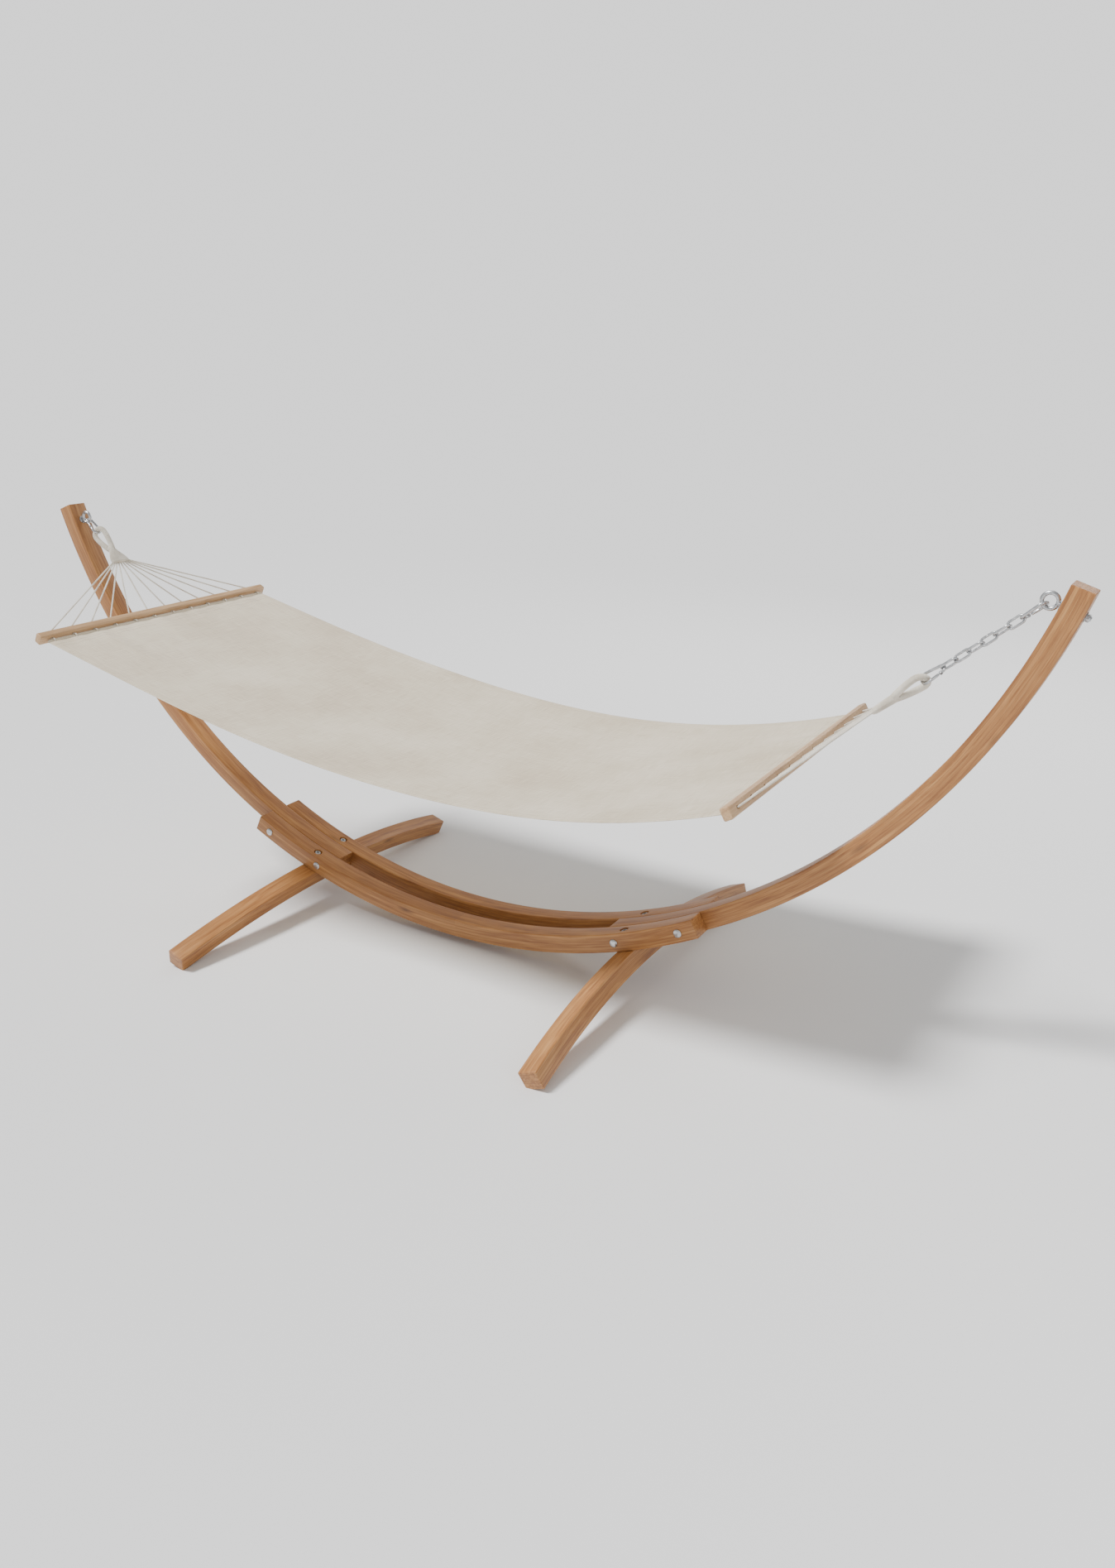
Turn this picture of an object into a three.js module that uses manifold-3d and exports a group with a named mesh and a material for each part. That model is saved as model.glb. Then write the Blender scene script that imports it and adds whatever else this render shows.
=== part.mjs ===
// Garden hammock on a free-standing arc stand of laminated larch.
// Millimetres, +Z up, +X along the hammock, origin on the ground below the middle of the stand.
import * as THREE from 'three';
import { mergeVertices } from 'three/addons/utils/BufferGeometryUtils.js';
import Module from 'manifold-3d';

const wasm = await Module();
wasm.setup();

// Laminated arc: two centre beams clasp the inner ends of the two arms.
const ARC_RADIUS = 1700;
const BEAM_DEPTH = 55;
const ARM_THICKNESS = 64;
const CENTRE_THICKNESS = 60;
const ARM_TIP_ANGLE = 71.1;
const ARM_ROOT_ANGLE = 17.1;
const CENTRE_END_ANGLE = 27.3;

// Arched cross legs, bolted up under the arc.
const LEG_STATION = 19.4;
const LEG_ARCH_RADIUS = 2630;
const LEG_HALF_ANGLE = 14.2;
const LEG_WIDTH = 56;
const LEG_DEPTH = 54;
const FOOT_FLAT = 6;

// Hardware of the stand.
const SIDE_BOLT_STATIONS = [18.5, 25.5];
const BOLT_RADIUS = 5;
const BOLT_PLAY = 0.6;
const BOLT_HOLE_RADIUS = BOLT_RADIUS + BOLT_PLAY;
const SIDE_HEAD_RADIUS = 12;
const SIDE_HEAD_HEIGHT = 5;
const SIDE_HEAD_FACETS = 6;
const LEG_HEAD_RADIUS = 9;
const LEG_HEAD_HEIGHT = 6;
const SOCKET_ACROSS_FLATS = 8;
const WASHER_RADIUS = 12;
const WASHER_THICKNESS = 2;
const NUT_ACROSS_FLATS = 17;
const NUT_HEIGHT = 8;
const FLANGE_RADIUS = 11;
const FLANGE_THICKNESS = 2;
const THREAD_END = 3;
const RECESS_RADIUS = FLANGE_RADIUS + 2;
const HEAD_RECESS_DEPTH = LEG_HEAD_HEIGHT + 3;
const NUT_RECESS_DEPTH = FLANGE_THICKNESS + NUT_HEIGHT + THREAD_END;

// Ring eye bolts near the tips of the arms.
const EYE_STATION = 69.2;
const RING_INNER_RADIUS = 12.5;
const RING_WIRE = 10;
const RING_LIFT = 2.5;

// Pear-shaped snap hooks and the chain.
const HOOK_LENGTH = 70;
const HOOK_WIRE = 7;
const HOOK_WIDE_PLAY = 2.2;
const HOOK_NARROW_PLAY = 0.8;
const NOSE_PLAY = 3.5;
const PIVOT_SETBACK = 3.2;
const CHEEK_EXTRA = 0.6;
const GATE_TAB = 2.6;
const GATE_TAB_HEIGHT = 5;
const GATE_TAB_LENGTH = 6.5;
const GATE_PIN_RADIUS = 1.2;
const LINK_COUNT = 6;
const LINK_INNER_LENGTH = 35;
const LINK_WIDTH = 24;
const LINK_WIRE = 6;

// Hammock: wrapped end loops, fans of cord, spreader bars and the cloth bed.
const LOOP_LENGTH = 155;
const LOOP_EYE_LENGTH = 98;
const LOOP_EYE_WIDTH = 56;
const LOOP_BUNDLE = 17;
const LOOP_NECK_RADIUS = 12;
const LOOP_MOUTH_WIDTH = 70;
const LOOP_MOUTH_THICKNESS = 19;
const CORD_COUNT = 12;
const CORD_DIAMETER = 5;
const CORD_MARGIN = 42;
const GATHER_THICKNESS = 5;
const BAR_LENGTH = 960;
const BAR_THICKNESS = 24;
const BAR_HEIGHT = 32;
const BAR_TILT = 28;
const BED_WIDTH = 918;
const BED_THICKNESS = 4;
const SWING_LIMIT = 25;
const ENDS = {
  left: { side: -1, reach: 430, drop: 43.7, bedSlope: 14, hookTwist: 0, loopTwist: 70 },
  right: { side: 1, reach: 688, drop: 39.4, bedSlope: 18.3, hookTwist: 20, loopTwist: 45 },
};

// Clearances and facets.
const GAP = 0.3;
const SEAT_MARGIN = 8;
const ROUND = 14;
const FINE_ROUND = 20;
const WIRE_SIDES = 8;
const BEAM_FACETS = 14;
const LEG_FACETS = 12;
const HOOK_STEPS = 40;
const BED_STEPS = 36;
const OVERRUN = 20;
const FLARE_STEPS = 6;
const MOUTH_ROUNDING = 4;

const larch = new THREE.MeshStandardMaterial({ color: 0xb98450, roughness: 0.6, metalness: 0 });
const barWood = new THREE.MeshStandardMaterial({ color: 0xc79a63, roughness: 0.55, metalness: 0 });
const zinc = new THREE.MeshStandardMaterial({ color: 0x9fa4a8, roughness: 0.35, metalness: 1 });
const canvas = new THREE.MeshStandardMaterial({ color: 0xe8dfc8, roughness: 0.9, metalness: 0 });
const cord = new THREE.MeshStandardMaterial({ color: 0xe9e2d0, roughness: 0.85, metalness: 0 });

const radians = (degrees) => THREE.MathUtils.degToRad(degrees);

// The ring keeps its inner size for the hooks, whatever its wire, and stands clear of the washer.
const ringRadius = RING_INNER_RADIUS + RING_WIRE / 2;
const ringStandoff = RING_INNER_RADIUS + RING_WIRE + RING_LIFT;

// Booleans.
function solidOf(geometry) {
  const bare = geometry.clone();
  bare.deleteAttribute('normal');
  bare.deleteAttribute('uv');
  const merged = mergeVertices(bare, 1e-4);
  const positions = new Float32Array(merged.getAttribute('position').array);
  const triangles = new Uint32Array(merged.getIndex().array);
  return new wasm.Manifold(new wasm.Mesh({ numProp: 3, vertProperties: positions, triVerts: triangles }));
}

function geometryOf(solid) {
  const mesh = solid.getMesh();
  const geometry = new THREE.BufferGeometry();
  geometry.setAttribute('position', new THREE.BufferAttribute(mesh.vertProperties, 3));
  geometry.setIndex(new THREE.BufferAttribute(mesh.triVerts, 1));
  geometry.computeVertexNormals();
  return geometry;
}

function joined(first, ...rest) {
  return geometryOf(rest.reduce((solid, piece) => solid.add(solidOf(piece)), solidOf(first)));
}

function cut(body, ...tools) {
  return geometryOf(tools.reduce((solid, tool) => solid.subtract(solidOf(tool)), solidOf(body)));
}

// Basic shapes.
function cylinder(radius, length, sides = ROUND) {
  return new THREE.CylinderGeometry(radius, radius, length, sides);
}

// A rod along local Z between two heights.
function rod(radius, low, high, sides = ROUND) {
  return cylinder(radius, high - low, sides).rotateX(Math.PI / 2).translate(0, 0, (low + high) / 2);
}

// A part of a flat ring in the XY plane, extruded along Z; its angles are counted from -Y.
function ringSector(inner, outer, start, end, thickness, facets) {
  const shape = new THREE.Shape();
  shape.absarc(0, 0, outer, start - Math.PI / 2, end - Math.PI / 2, false);
  shape.absarc(0, 0, inner, end - Math.PI / 2, start - Math.PI / 2, true);
  const options = { depth: thickness, bevelEnabled: false, curveSegments: facets };
  return new THREE.ExtrudeGeometry(shape, options).translate(0, 0, -thickness / 2);
}

function sweep(points, radius, steps) {
  const section = new THREE.Shape();
  section.absarc(0, 0, radius, 0, 2 * Math.PI, false);
  const path = new THREE.CatmullRomCurve3(points);
  const options = { steps, bevelEnabled: false, extrudePath: path, curveSegments: WIRE_SIDES / 2 };
  return new THREE.ExtrudeGeometry(section, options);
}

function washerShape(radius, bore, thickness) {
  const half = thickness / 2;
  const profile = [[bore, -half], [radius, -half], [radius, half], [bore, half], [bore, -half]]
    .map(([r, y]) => new THREE.Vector2(r, y));
  return new THREE.LatheGeometry(profile, ROUND).rotateX(Math.PI / 2);
}

// A hexagon prism on local Z from 0 up.
function hexagon(acrossFlats, height) {
  return new THREE.CylinderGeometry(acrossFlats / Math.sqrt(3), acrossFlats / Math.sqrt(3), height, 6)
    .rotateX(Math.PI / 2).translate(0, 0, height / 2);
}

function addMesh(parent, name, geometry, material) {
  const mesh = new THREE.Mesh(geometry, material);
  mesh.name = name;
  parent.add(mesh);
  return mesh;
}

// Heights: the lowest corners of the legs are planed flat, and that plane is the ground.
const beamOuter = ARC_RADIUS + BEAM_DEPTH;
const sandwichHalf = ARM_THICKNESS / 2 + GAP + CENTRE_THICKNESS;
const centreOffset = ARM_THICKNESS / 2 + GAP + CENTRE_THICKNESS / 2;
const seatHalf = sandwichHalf + SEAT_MARGIN;
const seatDepth = LEG_ARCH_RADIUS - Math.sqrt(LEG_ARCH_RADIUS ** 2 - seatHalf ** 2);
const legCentre = beamOuter + GAP - seatDepth + LEG_ARCH_RADIUS;
const legInner = LEG_ARCH_RADIUS - LEG_DEPTH;
const footRadius = legCentre - legInner * Math.cos(radians(LEG_HALF_ANGLE));
const footAngle = radians(LEG_STATION);
const cornerDrop = footRadius * Math.cos(footAngle) + (LEG_WIDTH / 2) * Math.sin(footAngle);
const arcCentre = cornerDrop - FOOT_FLAT;

// A frame at one place along the arc: local +X runs along the arc and local -Z points outwards.
function station(angle) {
  const group = new THREE.Group();
  group.position.set(0, 0, arcCentre);
  group.rotation.y = -radians(angle);
  group.updateMatrixWorld(true);
  return group;
}

function inStation(geometry, angle) {
  return geometry.clone().applyMatrix4(station(angle).matrixWorld);
}

const hammockStand = new THREE.Group();

// Arc beams, drilled for the side bolts and the leg bolts.
function arcBeam(start, end, thickness, offset) {
  return ringSector(ARC_RADIUS, beamOuter, radians(start), radians(end), thickness, BEAM_FACETS)
    .rotateX(Math.PI / 2).translate(0, offset, arcCentre);
}

function sideHole(angle) {
  const length = 2 * sandwichHalf + OVERRUN;
  const middle = ARC_RADIUS + BEAM_DEPTH / 2;
  return inStation(cylinder(BOLT_HOLE_RADIUS, length).translate(0, 0, -middle), angle);
}

function legHole(angle, offset) {
  const shaft = rod(BOLT_HOLE_RADIUS, -beamOuter - OVERRUN, -ARC_RADIUS + OVERRUN);
  const recess = rod(RECESS_RADIUS, -ARC_RADIUS - HEAD_RECESS_DEPTH, -ARC_RADIUS + OVERRUN, FINE_ROUND);
  return inStation(joined(shaft, recess).translate(0, offset, 0), angle);
}

function addCentreBeams() {
  const sides = { front: -1, back: 1 };
  for (const [name, side] of Object.entries(sides)) {
    const beam = arcBeam(-CENTRE_END_ANGLE, CENTRE_END_ANGLE, CENTRE_THICKNESS, side * centreOffset);
    const holes = [-1, 1].flatMap((end) => [
      ...SIDE_BOLT_STATIONS.map((angle) => sideHole(end * angle)),
      legHole(end * LEG_STATION, side * centreOffset),
    ]);
    addMesh(hammockStand, `centre_beam_${name}`, cut(beam, ...holes), larch);
  }
}

function eyeHole(angle) {
  return inStation(rod(BOLT_HOLE_RADIUS, -beamOuter - OVERRUN, -ARC_RADIUS + OVERRUN), angle);
}

function addArms() {
  for (const [name, { side }] of Object.entries(ENDS)) {
    const angles = [side * ARM_ROOT_ANGLE, side * ARM_TIP_ANGLE].sort((a, b) => a - b);
    const arm = arcBeam(angles[0], angles[1], ARM_THICKNESS, 0);
    const holes = SIDE_BOLT_STATIONS.map((angle) => sideHole(side * angle));
    addMesh(hammockStand, `arm_${name}`, cut(arm, ...holes, eyeHole(side * EYE_STATION)), larch);
  }
}

// Cross legs: an arch with a flat planed on its crown for the beams and on its corners for the ground.
function legGeometry(angle) {
  const half = radians(LEG_HALF_ANGLE);
  const arch = ringSector(legInner, LEG_ARCH_RADIUS, Math.PI - half, Math.PI + half, LEG_WIDTH, LEG_FACETS)
    .rotateX(Math.PI / 2).rotateZ(Math.PI / 2).translate(0, 0, -legCentre);
  const reach = 2 * LEG_ARCH_RADIUS;
  const crown = new THREE.BoxGeometry(reach, reach, OVERRUN)
    .translate(0, 0, -beamOuter - GAP + OVERRUN / 2);
  const ground = new THREE.BoxGeometry(2 * reach, reach, reach).translate(0, 0, -reach / 2)
    .applyMatrix4(station(angle).matrixWorld.clone().invert());
  const tools = [crown, ground];
  for (const side of [-1, 1]) {
    const shaft = rod(BOLT_HOLE_RADIUS, -beamOuter - LEG_DEPTH - OVERRUN, -beamOuter + OVERRUN);
    const recess = rod(RECESS_RADIUS, -beamOuter - LEG_DEPTH - OVERRUN, nutSeat(), FINE_ROUND);
    tools.push(joined(shaft, recess).translate(0, side * centreOffset, 0));
  }
  return cut(arch, ...tools);
}

// Where the leg nuts seat, in the recess under each leg.
function nutSeat() {
  return -beamOuter - LEG_DEPTH + NUT_RECESS_DEPTH;
}

function addLegs() {
  for (const [name, { side }] of Object.entries(ENDS)) {
    const group = station(side * LEG_STATION);
    addMesh(group, `leg_${name}`, legGeometry(side * LEG_STATION), larch);
    hammockStand.add(group);
  }
}

// Coach bolts from front to back: a domed head in front, a washer and a cap nut behind.
function coachBolt() {
  const start = -sandwichHalf - GAP;
  const end = sandwichHalf + 2 * GAP + WASHER_THICKNESS + NUT_HEIGHT;
  const profile = [new THREE.Vector2(0, start - SIDE_HEAD_HEIGHT)];
  for (let step = 1; step < SIDE_HEAD_FACETS; step += 1) {
    const turn = (step / SIDE_HEAD_FACETS) * (Math.PI / 2);
    const height = start - SIDE_HEAD_HEIGHT * Math.cos(turn);
    profile.push(new THREE.Vector2(SIDE_HEAD_RADIUS * Math.sin(turn), height));
  }
  profile.push(new THREE.Vector2(SIDE_HEAD_RADIUS, start));
  profile.push(new THREE.Vector2(BOLT_RADIUS, start));
  profile.push(new THREE.Vector2(BOLT_RADIUS, end));
  profile.push(new THREE.Vector2(0, end));
  return new THREE.LatheGeometry(profile, FINE_ROUND);
}

// The cap nut grows along local +Z from its seat.
function capNut() {
  const dome = new THREE.SphereGeometry(NUT_ACROSS_FLATS / 2 - 0.6, ROUND, 12).translate(0, 0, NUT_HEIGHT);
  const bore = rod(BOLT_RADIUS + GAP, -OVERRUN, NUT_HEIGHT + GAP);
  const below = rod(NUT_ACROSS_FLATS, -NUT_ACROSS_FLATS, 0);
  return cut(joined(hexagon(NUT_ACROSS_FLATS, NUT_HEIGHT), dome), below, bore);
}

function addSideBolts() {
  for (const [name, { side }] of Object.entries(ENDS)) {
    SIDE_BOLT_STATIONS.forEach((angle, index) => {
      const label = `${name}_${index + 1}`;
      const group = station(side * angle);
      const middle = -(ARC_RADIUS + BEAM_DEPTH / 2);
      addMesh(group, `side_bolt_${label}`, coachBolt(), zinc).position.set(0, 0, middle);
      const washer = addMesh(group, `side_washer_${label}`,
        washerShape(WASHER_RADIUS, BOLT_HOLE_RADIUS, WASHER_THICKNESS), zinc);
      washer.rotation.x = -Math.PI / 2;
      washer.position.set(0, sandwichHalf + GAP + WASHER_THICKNESS / 2, middle);
      const nut = addMesh(group, `side_cap_nut_${label}`, capNut(), zinc);
      nut.rotation.x = -Math.PI / 2;
      nut.position.set(0, sandwichHalf + 2 * GAP + WASHER_THICKNESS, middle);
      hammockStand.add(group);
    });
  }
}

// Leg bolts: a round head sunk in the beam, a flange nut sunk under the leg.
function legBolt() {
  const seat = -ARC_RADIUS - HEAD_RECESS_DEPTH + GAP;
  const end = nutSeat() - GAP - FLANGE_THICKNESS - NUT_HEIGHT - 1;
  const head = rod(LEG_HEAD_RADIUS, seat, seat + LEG_HEAD_HEIGHT, FINE_ROUND);
  const socket = hexagon(SOCKET_ACROSS_FLATS, LEG_HEAD_HEIGHT).translate(0, 0, seat + LEG_HEAD_HEIGHT / 3);
  return cut(joined(head, rod(BOLT_RADIUS, end, seat + 1)), socket);
}

function flangeNut() {
  const seat = nutSeat() - GAP;
  const flange = rod(FLANGE_RADIUS, seat - FLANGE_THICKNESS, seat, FINE_ROUND);
  const nut = hexagon(NUT_ACROSS_FLATS, NUT_HEIGHT).translate(0, 0, seat - FLANGE_THICKNESS - NUT_HEIGHT);
  return cut(joined(flange, nut), rod(BOLT_RADIUS + GAP, seat - OVERRUN, seat + OVERRUN));
}

function addLegBolts() {
  for (const [name, { side }] of Object.entries(ENDS)) {
    for (const [place, across] of [['front', -1], ['back', 1]]) {
      const group = station(side * LEG_STATION);
      const bolt = addMesh(group, `leg_bolt_${name}_${place}`, legBolt(), zinc);
      const nut = addMesh(group, `leg_nut_${name}_${place}`, flangeNut(), zinc);
      bolt.position.y = across * centreOffset;
      nut.position.y = across * centreOffset;
      hammockStand.add(group);
    }
  }
}

// Ring eye bolts through the arms.
function ringEyeBolt() {
  const ring = new THREE.TorusGeometry(ringRadius, RING_WIRE / 2, WIRE_SIDES, FINE_ROUND)
    .rotateX(Math.PI / 2).translate(0, 0, -ARC_RADIUS + ringStandoff);
  const end = -beamOuter - GAP * 2 - WASHER_THICKNESS - NUT_HEIGHT - THREAD_END;
  return joined(ring, rod(BOLT_RADIUS, end, -ARC_RADIUS + ringStandoff - ringRadius));
}

function addEyeBolts() {
  for (const [name, { side }] of Object.entries(ENDS)) {
    const group = station(side * EYE_STATION);
    const disc = washerShape(WASHER_RADIUS, BOLT_HOLE_RADIUS, WASHER_THICKNESS);
    addMesh(group, `eye_bolt_${name}`, ringEyeBolt(), zinc);
    addMesh(group, `eye_washer_inner_${name}`, disc, zinc).position.z =
      -ARC_RADIUS + GAP + WASHER_THICKNESS / 2;
    addMesh(group, `eye_washer_outer_${name}`, disc, zinc).position.z =
      -beamOuter - GAP - WASHER_THICKNESS / 2;
    const hole = rod(BOLT_RADIUS + GAP, -OVERRUN, NUT_HEIGHT + OVERRUN);
    addMesh(group, `eye_nut_${name}`, cut(hexagon(NUT_ACROSS_FLATS, NUT_HEIGHT), hole), zinc).position.z =
      -beamOuter - 2 * GAP - WASHER_THICKNESS - NUT_HEIGHT;
    hammockStand.add(group);
  }
}

// The pull line of one end of the hammock: origin at the ring's centre, local +X towards the bar.
function pullLine({ side, drop }) {
  const angle = radians(EYE_STATION);
  const radius = ARC_RADIUS - ringStandoff;
  const group = new THREE.Group();
  group.position.set(side * radius * Math.sin(angle), 0, arcCentre - radius * Math.cos(angle));
  group.rotation.y = side < 0 ? radians(drop) : Math.PI - radians(drop);
  group.updateMatrixWorld(true);
  hammockStand.add(group);
  return group;
}

// A snap hook lies in its local XY plane with its wide end at x = 0; the gate is on the +Y side.
// The wide end takes the rope bundle, the narrow end takes the ring, and the gate clears the bundle.
const wideRadius = (LOOP_BUNDLE + HOOK_WIRE) / 2 + HOOK_WIDE_PLAY;
const narrowRadius = (RING_WIRE + HOOK_WIRE) / 2 + HOOK_NARROW_PLAY;
const wideCentre = HOOK_WIRE / 2 + wideRadius;
const narrowCentre = HOOK_LENGTH - HOOK_WIRE / 2 - narrowRadius;
const hookTaper = Math.asin((wideRadius - narrowRadius) / (narrowCentre - wideCentre));
const nose = HOOK_WIRE + LOOP_BUNDLE + NOSE_PLAY;
const pivot = narrowCentre - PIVOT_SETBACK;

function hookSide(x) {
  return (wideRadius - (x - wideCentre) * Math.sin(hookTaper)) / Math.cos(hookTaper);
}

function hookOutline() {
  const points = [new THREE.Vector3(nose, hookSide(nose), 0)];
  const turns = 10;
  for (let step = 0; step <= turns; step += 1) {
    const turn = Math.PI / 2 - hookTaper + (step / turns) * (Math.PI + 2 * hookTaper);
    points.push(new THREE.Vector3(
      wideCentre + wideRadius * Math.cos(turn), wideRadius * Math.sin(turn), 0));
  }
  for (let step = 0; step <= turns; step += 1) {
    const turn = -Math.PI / 2 - hookTaper + (step / turns) * (Math.PI + 2 * hookTaper);
    points.push(new THREE.Vector3(
      narrowCentre + narrowRadius * Math.cos(turn), narrowRadius * Math.sin(turn), 0));
  }
  return points;
}

// Turns and moves a shape made at the gate's pivot into the hook's frame.
function gateFrame(geometry) {
  return geometry.rotateZ(-hookTaper).translate(pivot, hookSide(pivot), 0);
}

function hookBody() {
  const outline = hookOutline();
  const wire = sweep(outline, HOOK_WIRE / 2, HOOK_STEPS);
  const cheekRadius = HOOK_WIRE / 2 + CHEEK_EXTRA;
  const cheek = gateFrame(cylinder(cheekRadius, HOOK_WIRE).rotateX(Math.PI / 2));
  const slotLength = 4 * cheekRadius;
  const slot = gateFrame(new THREE.BoxGeometry(slotLength, slotLength, GATE_TAB + 2 * GAP)
    .translate(cheekRadius + 1 - slotLength / 2, 0, 0));
  const pinHole = gateFrame(rod(GATE_PIN_RADIUS + GAP, -OVERRUN, OVERRUN, 12));
  return cut(joined(wire, cheek), slot, pinHole);
}

// The gate in the frame of its own pivot: it reaches from the pin along local -X to the nose.
function gate() {
  const reach = (pivot - nose) / Math.cos(hookTaper) - GAP;
  const bar = cylinder(HOOK_WIRE / 2, reach - GATE_TAB_LENGTH, WIRE_SIDES)
    .rotateZ(Math.PI / 2).translate(-(reach + GATE_TAB_LENGTH) / 2, 0, 0);
  const tabReach = GATE_TAB_LENGTH + GATE_TAB;
  const tab = new THREE.BoxGeometry(tabReach, GATE_TAB_HEIGHT, GATE_TAB).translate(-tabReach / 2, 0, 0);
  const eye = cylinder(GATE_TAB_HEIGHT / 2, GATE_TAB).rotateX(Math.PI / 2);
  return cut(joined(bar, tab, eye), rod(GATE_PIN_RADIUS + GAP, -OVERRUN, OVERRUN, 12));
}

// A hook's place on its pull line: start is its end nearest the ring, and wideFirst says which end that is.
function hookPlace(start, twist, wideFirst) {
  const place = new THREE.Matrix4().makeRotationX(radians(twist));
  place.multiply(new THREE.Matrix4().makeTranslation(wideFirst ? start : start + HOOK_LENGTH, 0, 0));
  return place.multiply(new THREE.Matrix4().makeRotationZ(wideFirst ? 0 : Math.PI));
}

function addHook(line, name, start, twist, wideFirst) {
  const group = new THREE.Group();
  group.applyMatrix4(hookPlace(start, twist, wideFirst));
  line.add(group);
  const pin = rod(GATE_PIN_RADIUS, -HOOK_WIRE / 2, HOOK_WIRE / 2, 12);
  addMesh(group, `snap_hook_${name}`, hookBody(), zinc);
  addMesh(group, `hook_gate_${name}`, gateFrame(gate()), zinc);
  addMesh(group, `gate_pin_${name}`, gateFrame(pin), zinc);
}

// A closed wire around a planar loop of points in the XY plane.
function closedWire(points, radius) {
  const positions = [];
  const indices = [];
  const count = points.length;
  points.forEach(([x, y], index) => {
    const before = points[(index + count - 1) % count];
    const after = points[(index + 1) % count];
    const along = new THREE.Vector2(after[0] - before[0], after[1] - before[1]).normalize();
    for (let side = 0; side < WIRE_SIDES; side += 1) {
      const turn = (side / WIRE_SIDES) * 2 * Math.PI;
      const out = radius * Math.cos(turn);
      positions.push(x + along.y * out, y - along.x * out, radius * Math.sin(turn));
      const next = (side + 1) % WIRE_SIDES;
      const here = index * WIRE_SIDES;
      const there = ((index + 1) % count) * WIRE_SIDES;
      indices.push(here + side, there + side, there + next, here + side, there + next, here + next);
    }
  });
  const geometry = new THREE.BufferGeometry();
  geometry.setAttribute('position', new THREE.Float32BufferAttribute(positions, 3));
  geometry.setIndex(indices);
  geometry.computeVertexNormals();
  return geometry;
}

// Points of an arc around (cx, 0), from one angle to another in degrees.
function arcPoints(cx, radiusX, radiusY, from, to, steps) {
  return Array.from({ length: steps + 1 }, (_, step) => {
    const turn = radians(from + ((to - from) * step) / steps);
    return [cx + radiusX * Math.cos(turn), radiusY * Math.sin(turn)];
  });
}

// One chain link, centred, in its local XY plane.
function chainLink() {
  const radius = (LINK_WIDTH - LINK_WIRE) / 2;
  const half = LINK_INNER_LENGTH / 2 - (radius - LINK_WIRE / 2);
  const points = [
    ...arcPoints(half, radius, radius, -90, 90, 9),
    ...arcPoints(-half, radius, radius, 90, 270, 9),
  ];
  return closedWire(points, LINK_WIRE / 2);
}

// The links lie a quarter turn from each other, and share what the chain turns from end to end.
function addChain(line, start, { hookTwist, loopTwist }) {
  const pitch = LINK_INNER_LENGTH - GAP;
  const first = start + LINK_INNER_LENGTH / 2 + LINK_WIRE;
  const share = (loopTwist - hookTwist) / (LINK_COUNT + 1);
  for (let index = 0; index < LINK_COUNT; index += 1) {
    const link = addMesh(line, `chain_link_${index + 1}`, chainLink(), zinc);
    link.position.x = first + index * pitch;
    link.rotation.x = radians(hookTwist + (index + 1) * share - (index % 2 === 0 ? 90 : 0));
  }
  return first + (LINK_COUNT - 1) * pitch + LINK_INNER_LENGTH / 2 - GAP;
}

// The end loop of the hammock: a wrapped bundle of cord bent round to an eye. Behind the neck it flares to
// a flat mouth, which lies along the bar whatever the twist of the eye.
function endLoop(twist) {
  const half = (LOOP_EYE_WIDTH - LOOP_BUNDLE) / 2;
  const widest = LOOP_BUNDLE / 2 + half;
  const eye = closedWire([
    ...arcPoints(widest, half, half, 90, 270, 14),
    ...arcPoints(widest, LOOP_EYE_LENGTH - widest, half, -90, 90, FINE_ROUND).slice(1, -1),
  ], LOOP_BUNDLE / 2);
  const neck = LOOP_EYE_LENGTH - LOOP_NECK_RADIUS / 2;
  const rim = LOOP_LENGTH - MOUTH_ROUNDING;
  const profile = [[0, neck - LOOP_NECK_RADIUS / 2], [LOOP_NECK_RADIUS - 2, neck - LOOP_NECK_RADIUS / 2]];
  for (let step = 0; step <= FLARE_STEPS; step += 1) {
    const share = step / FLARE_STEPS;
    profile.push([
      THREE.MathUtils.lerp(LOOP_NECK_RADIUS, LOOP_MOUTH_THICKNESS / 2, share),
      THREE.MathUtils.lerp(neck, rim, share),
    ]);
  }
  profile.push([LOOP_MOUTH_THICKNESS / 2 - MOUTH_ROUNDING / 2, LOOP_LENGTH], [0, LOOP_LENGTH]);
  const flare = new THREE.LatheGeometry(profile.map(([r, x]) => new THREE.Vector2(r, x)), ROUND)
    .rotateZ(-Math.PI / 2);
  const widening = LOOP_MOUTH_WIDTH / LOOP_MOUTH_THICKNESS - 1;
  const place = flare.getAttribute('position');
  for (let index = 0; index < place.count; index += 1) {
    const share = THREE.MathUtils.smoothstep(place.getX(index), neck, rim);
    place.setY(index, place.getY(index) * (1 + widening * share));
  }
  return joined(eye, flare.rotateX(-radians(twist)));
}

function rodBetween(from, to, radius, sides) {
  const along = new THREE.Vector3().subVectors(to, from);
  const turn = new THREE.Quaternion();
  turn.setFromUnitVectors(new THREE.Vector3(0, 1, 0), along.clone().normalize());
  const middle = new THREE.Vector3().addVectors(from, to).multiplyScalar(0.5);
  return cylinder(radius, along.length(), sides).applyQuaternion(turn)
    .translate(middle.x, middle.y, middle.z);
}

function barTurn({ side, drop }) {
  return side * radians(drop - BAR_TILT);
}

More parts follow.
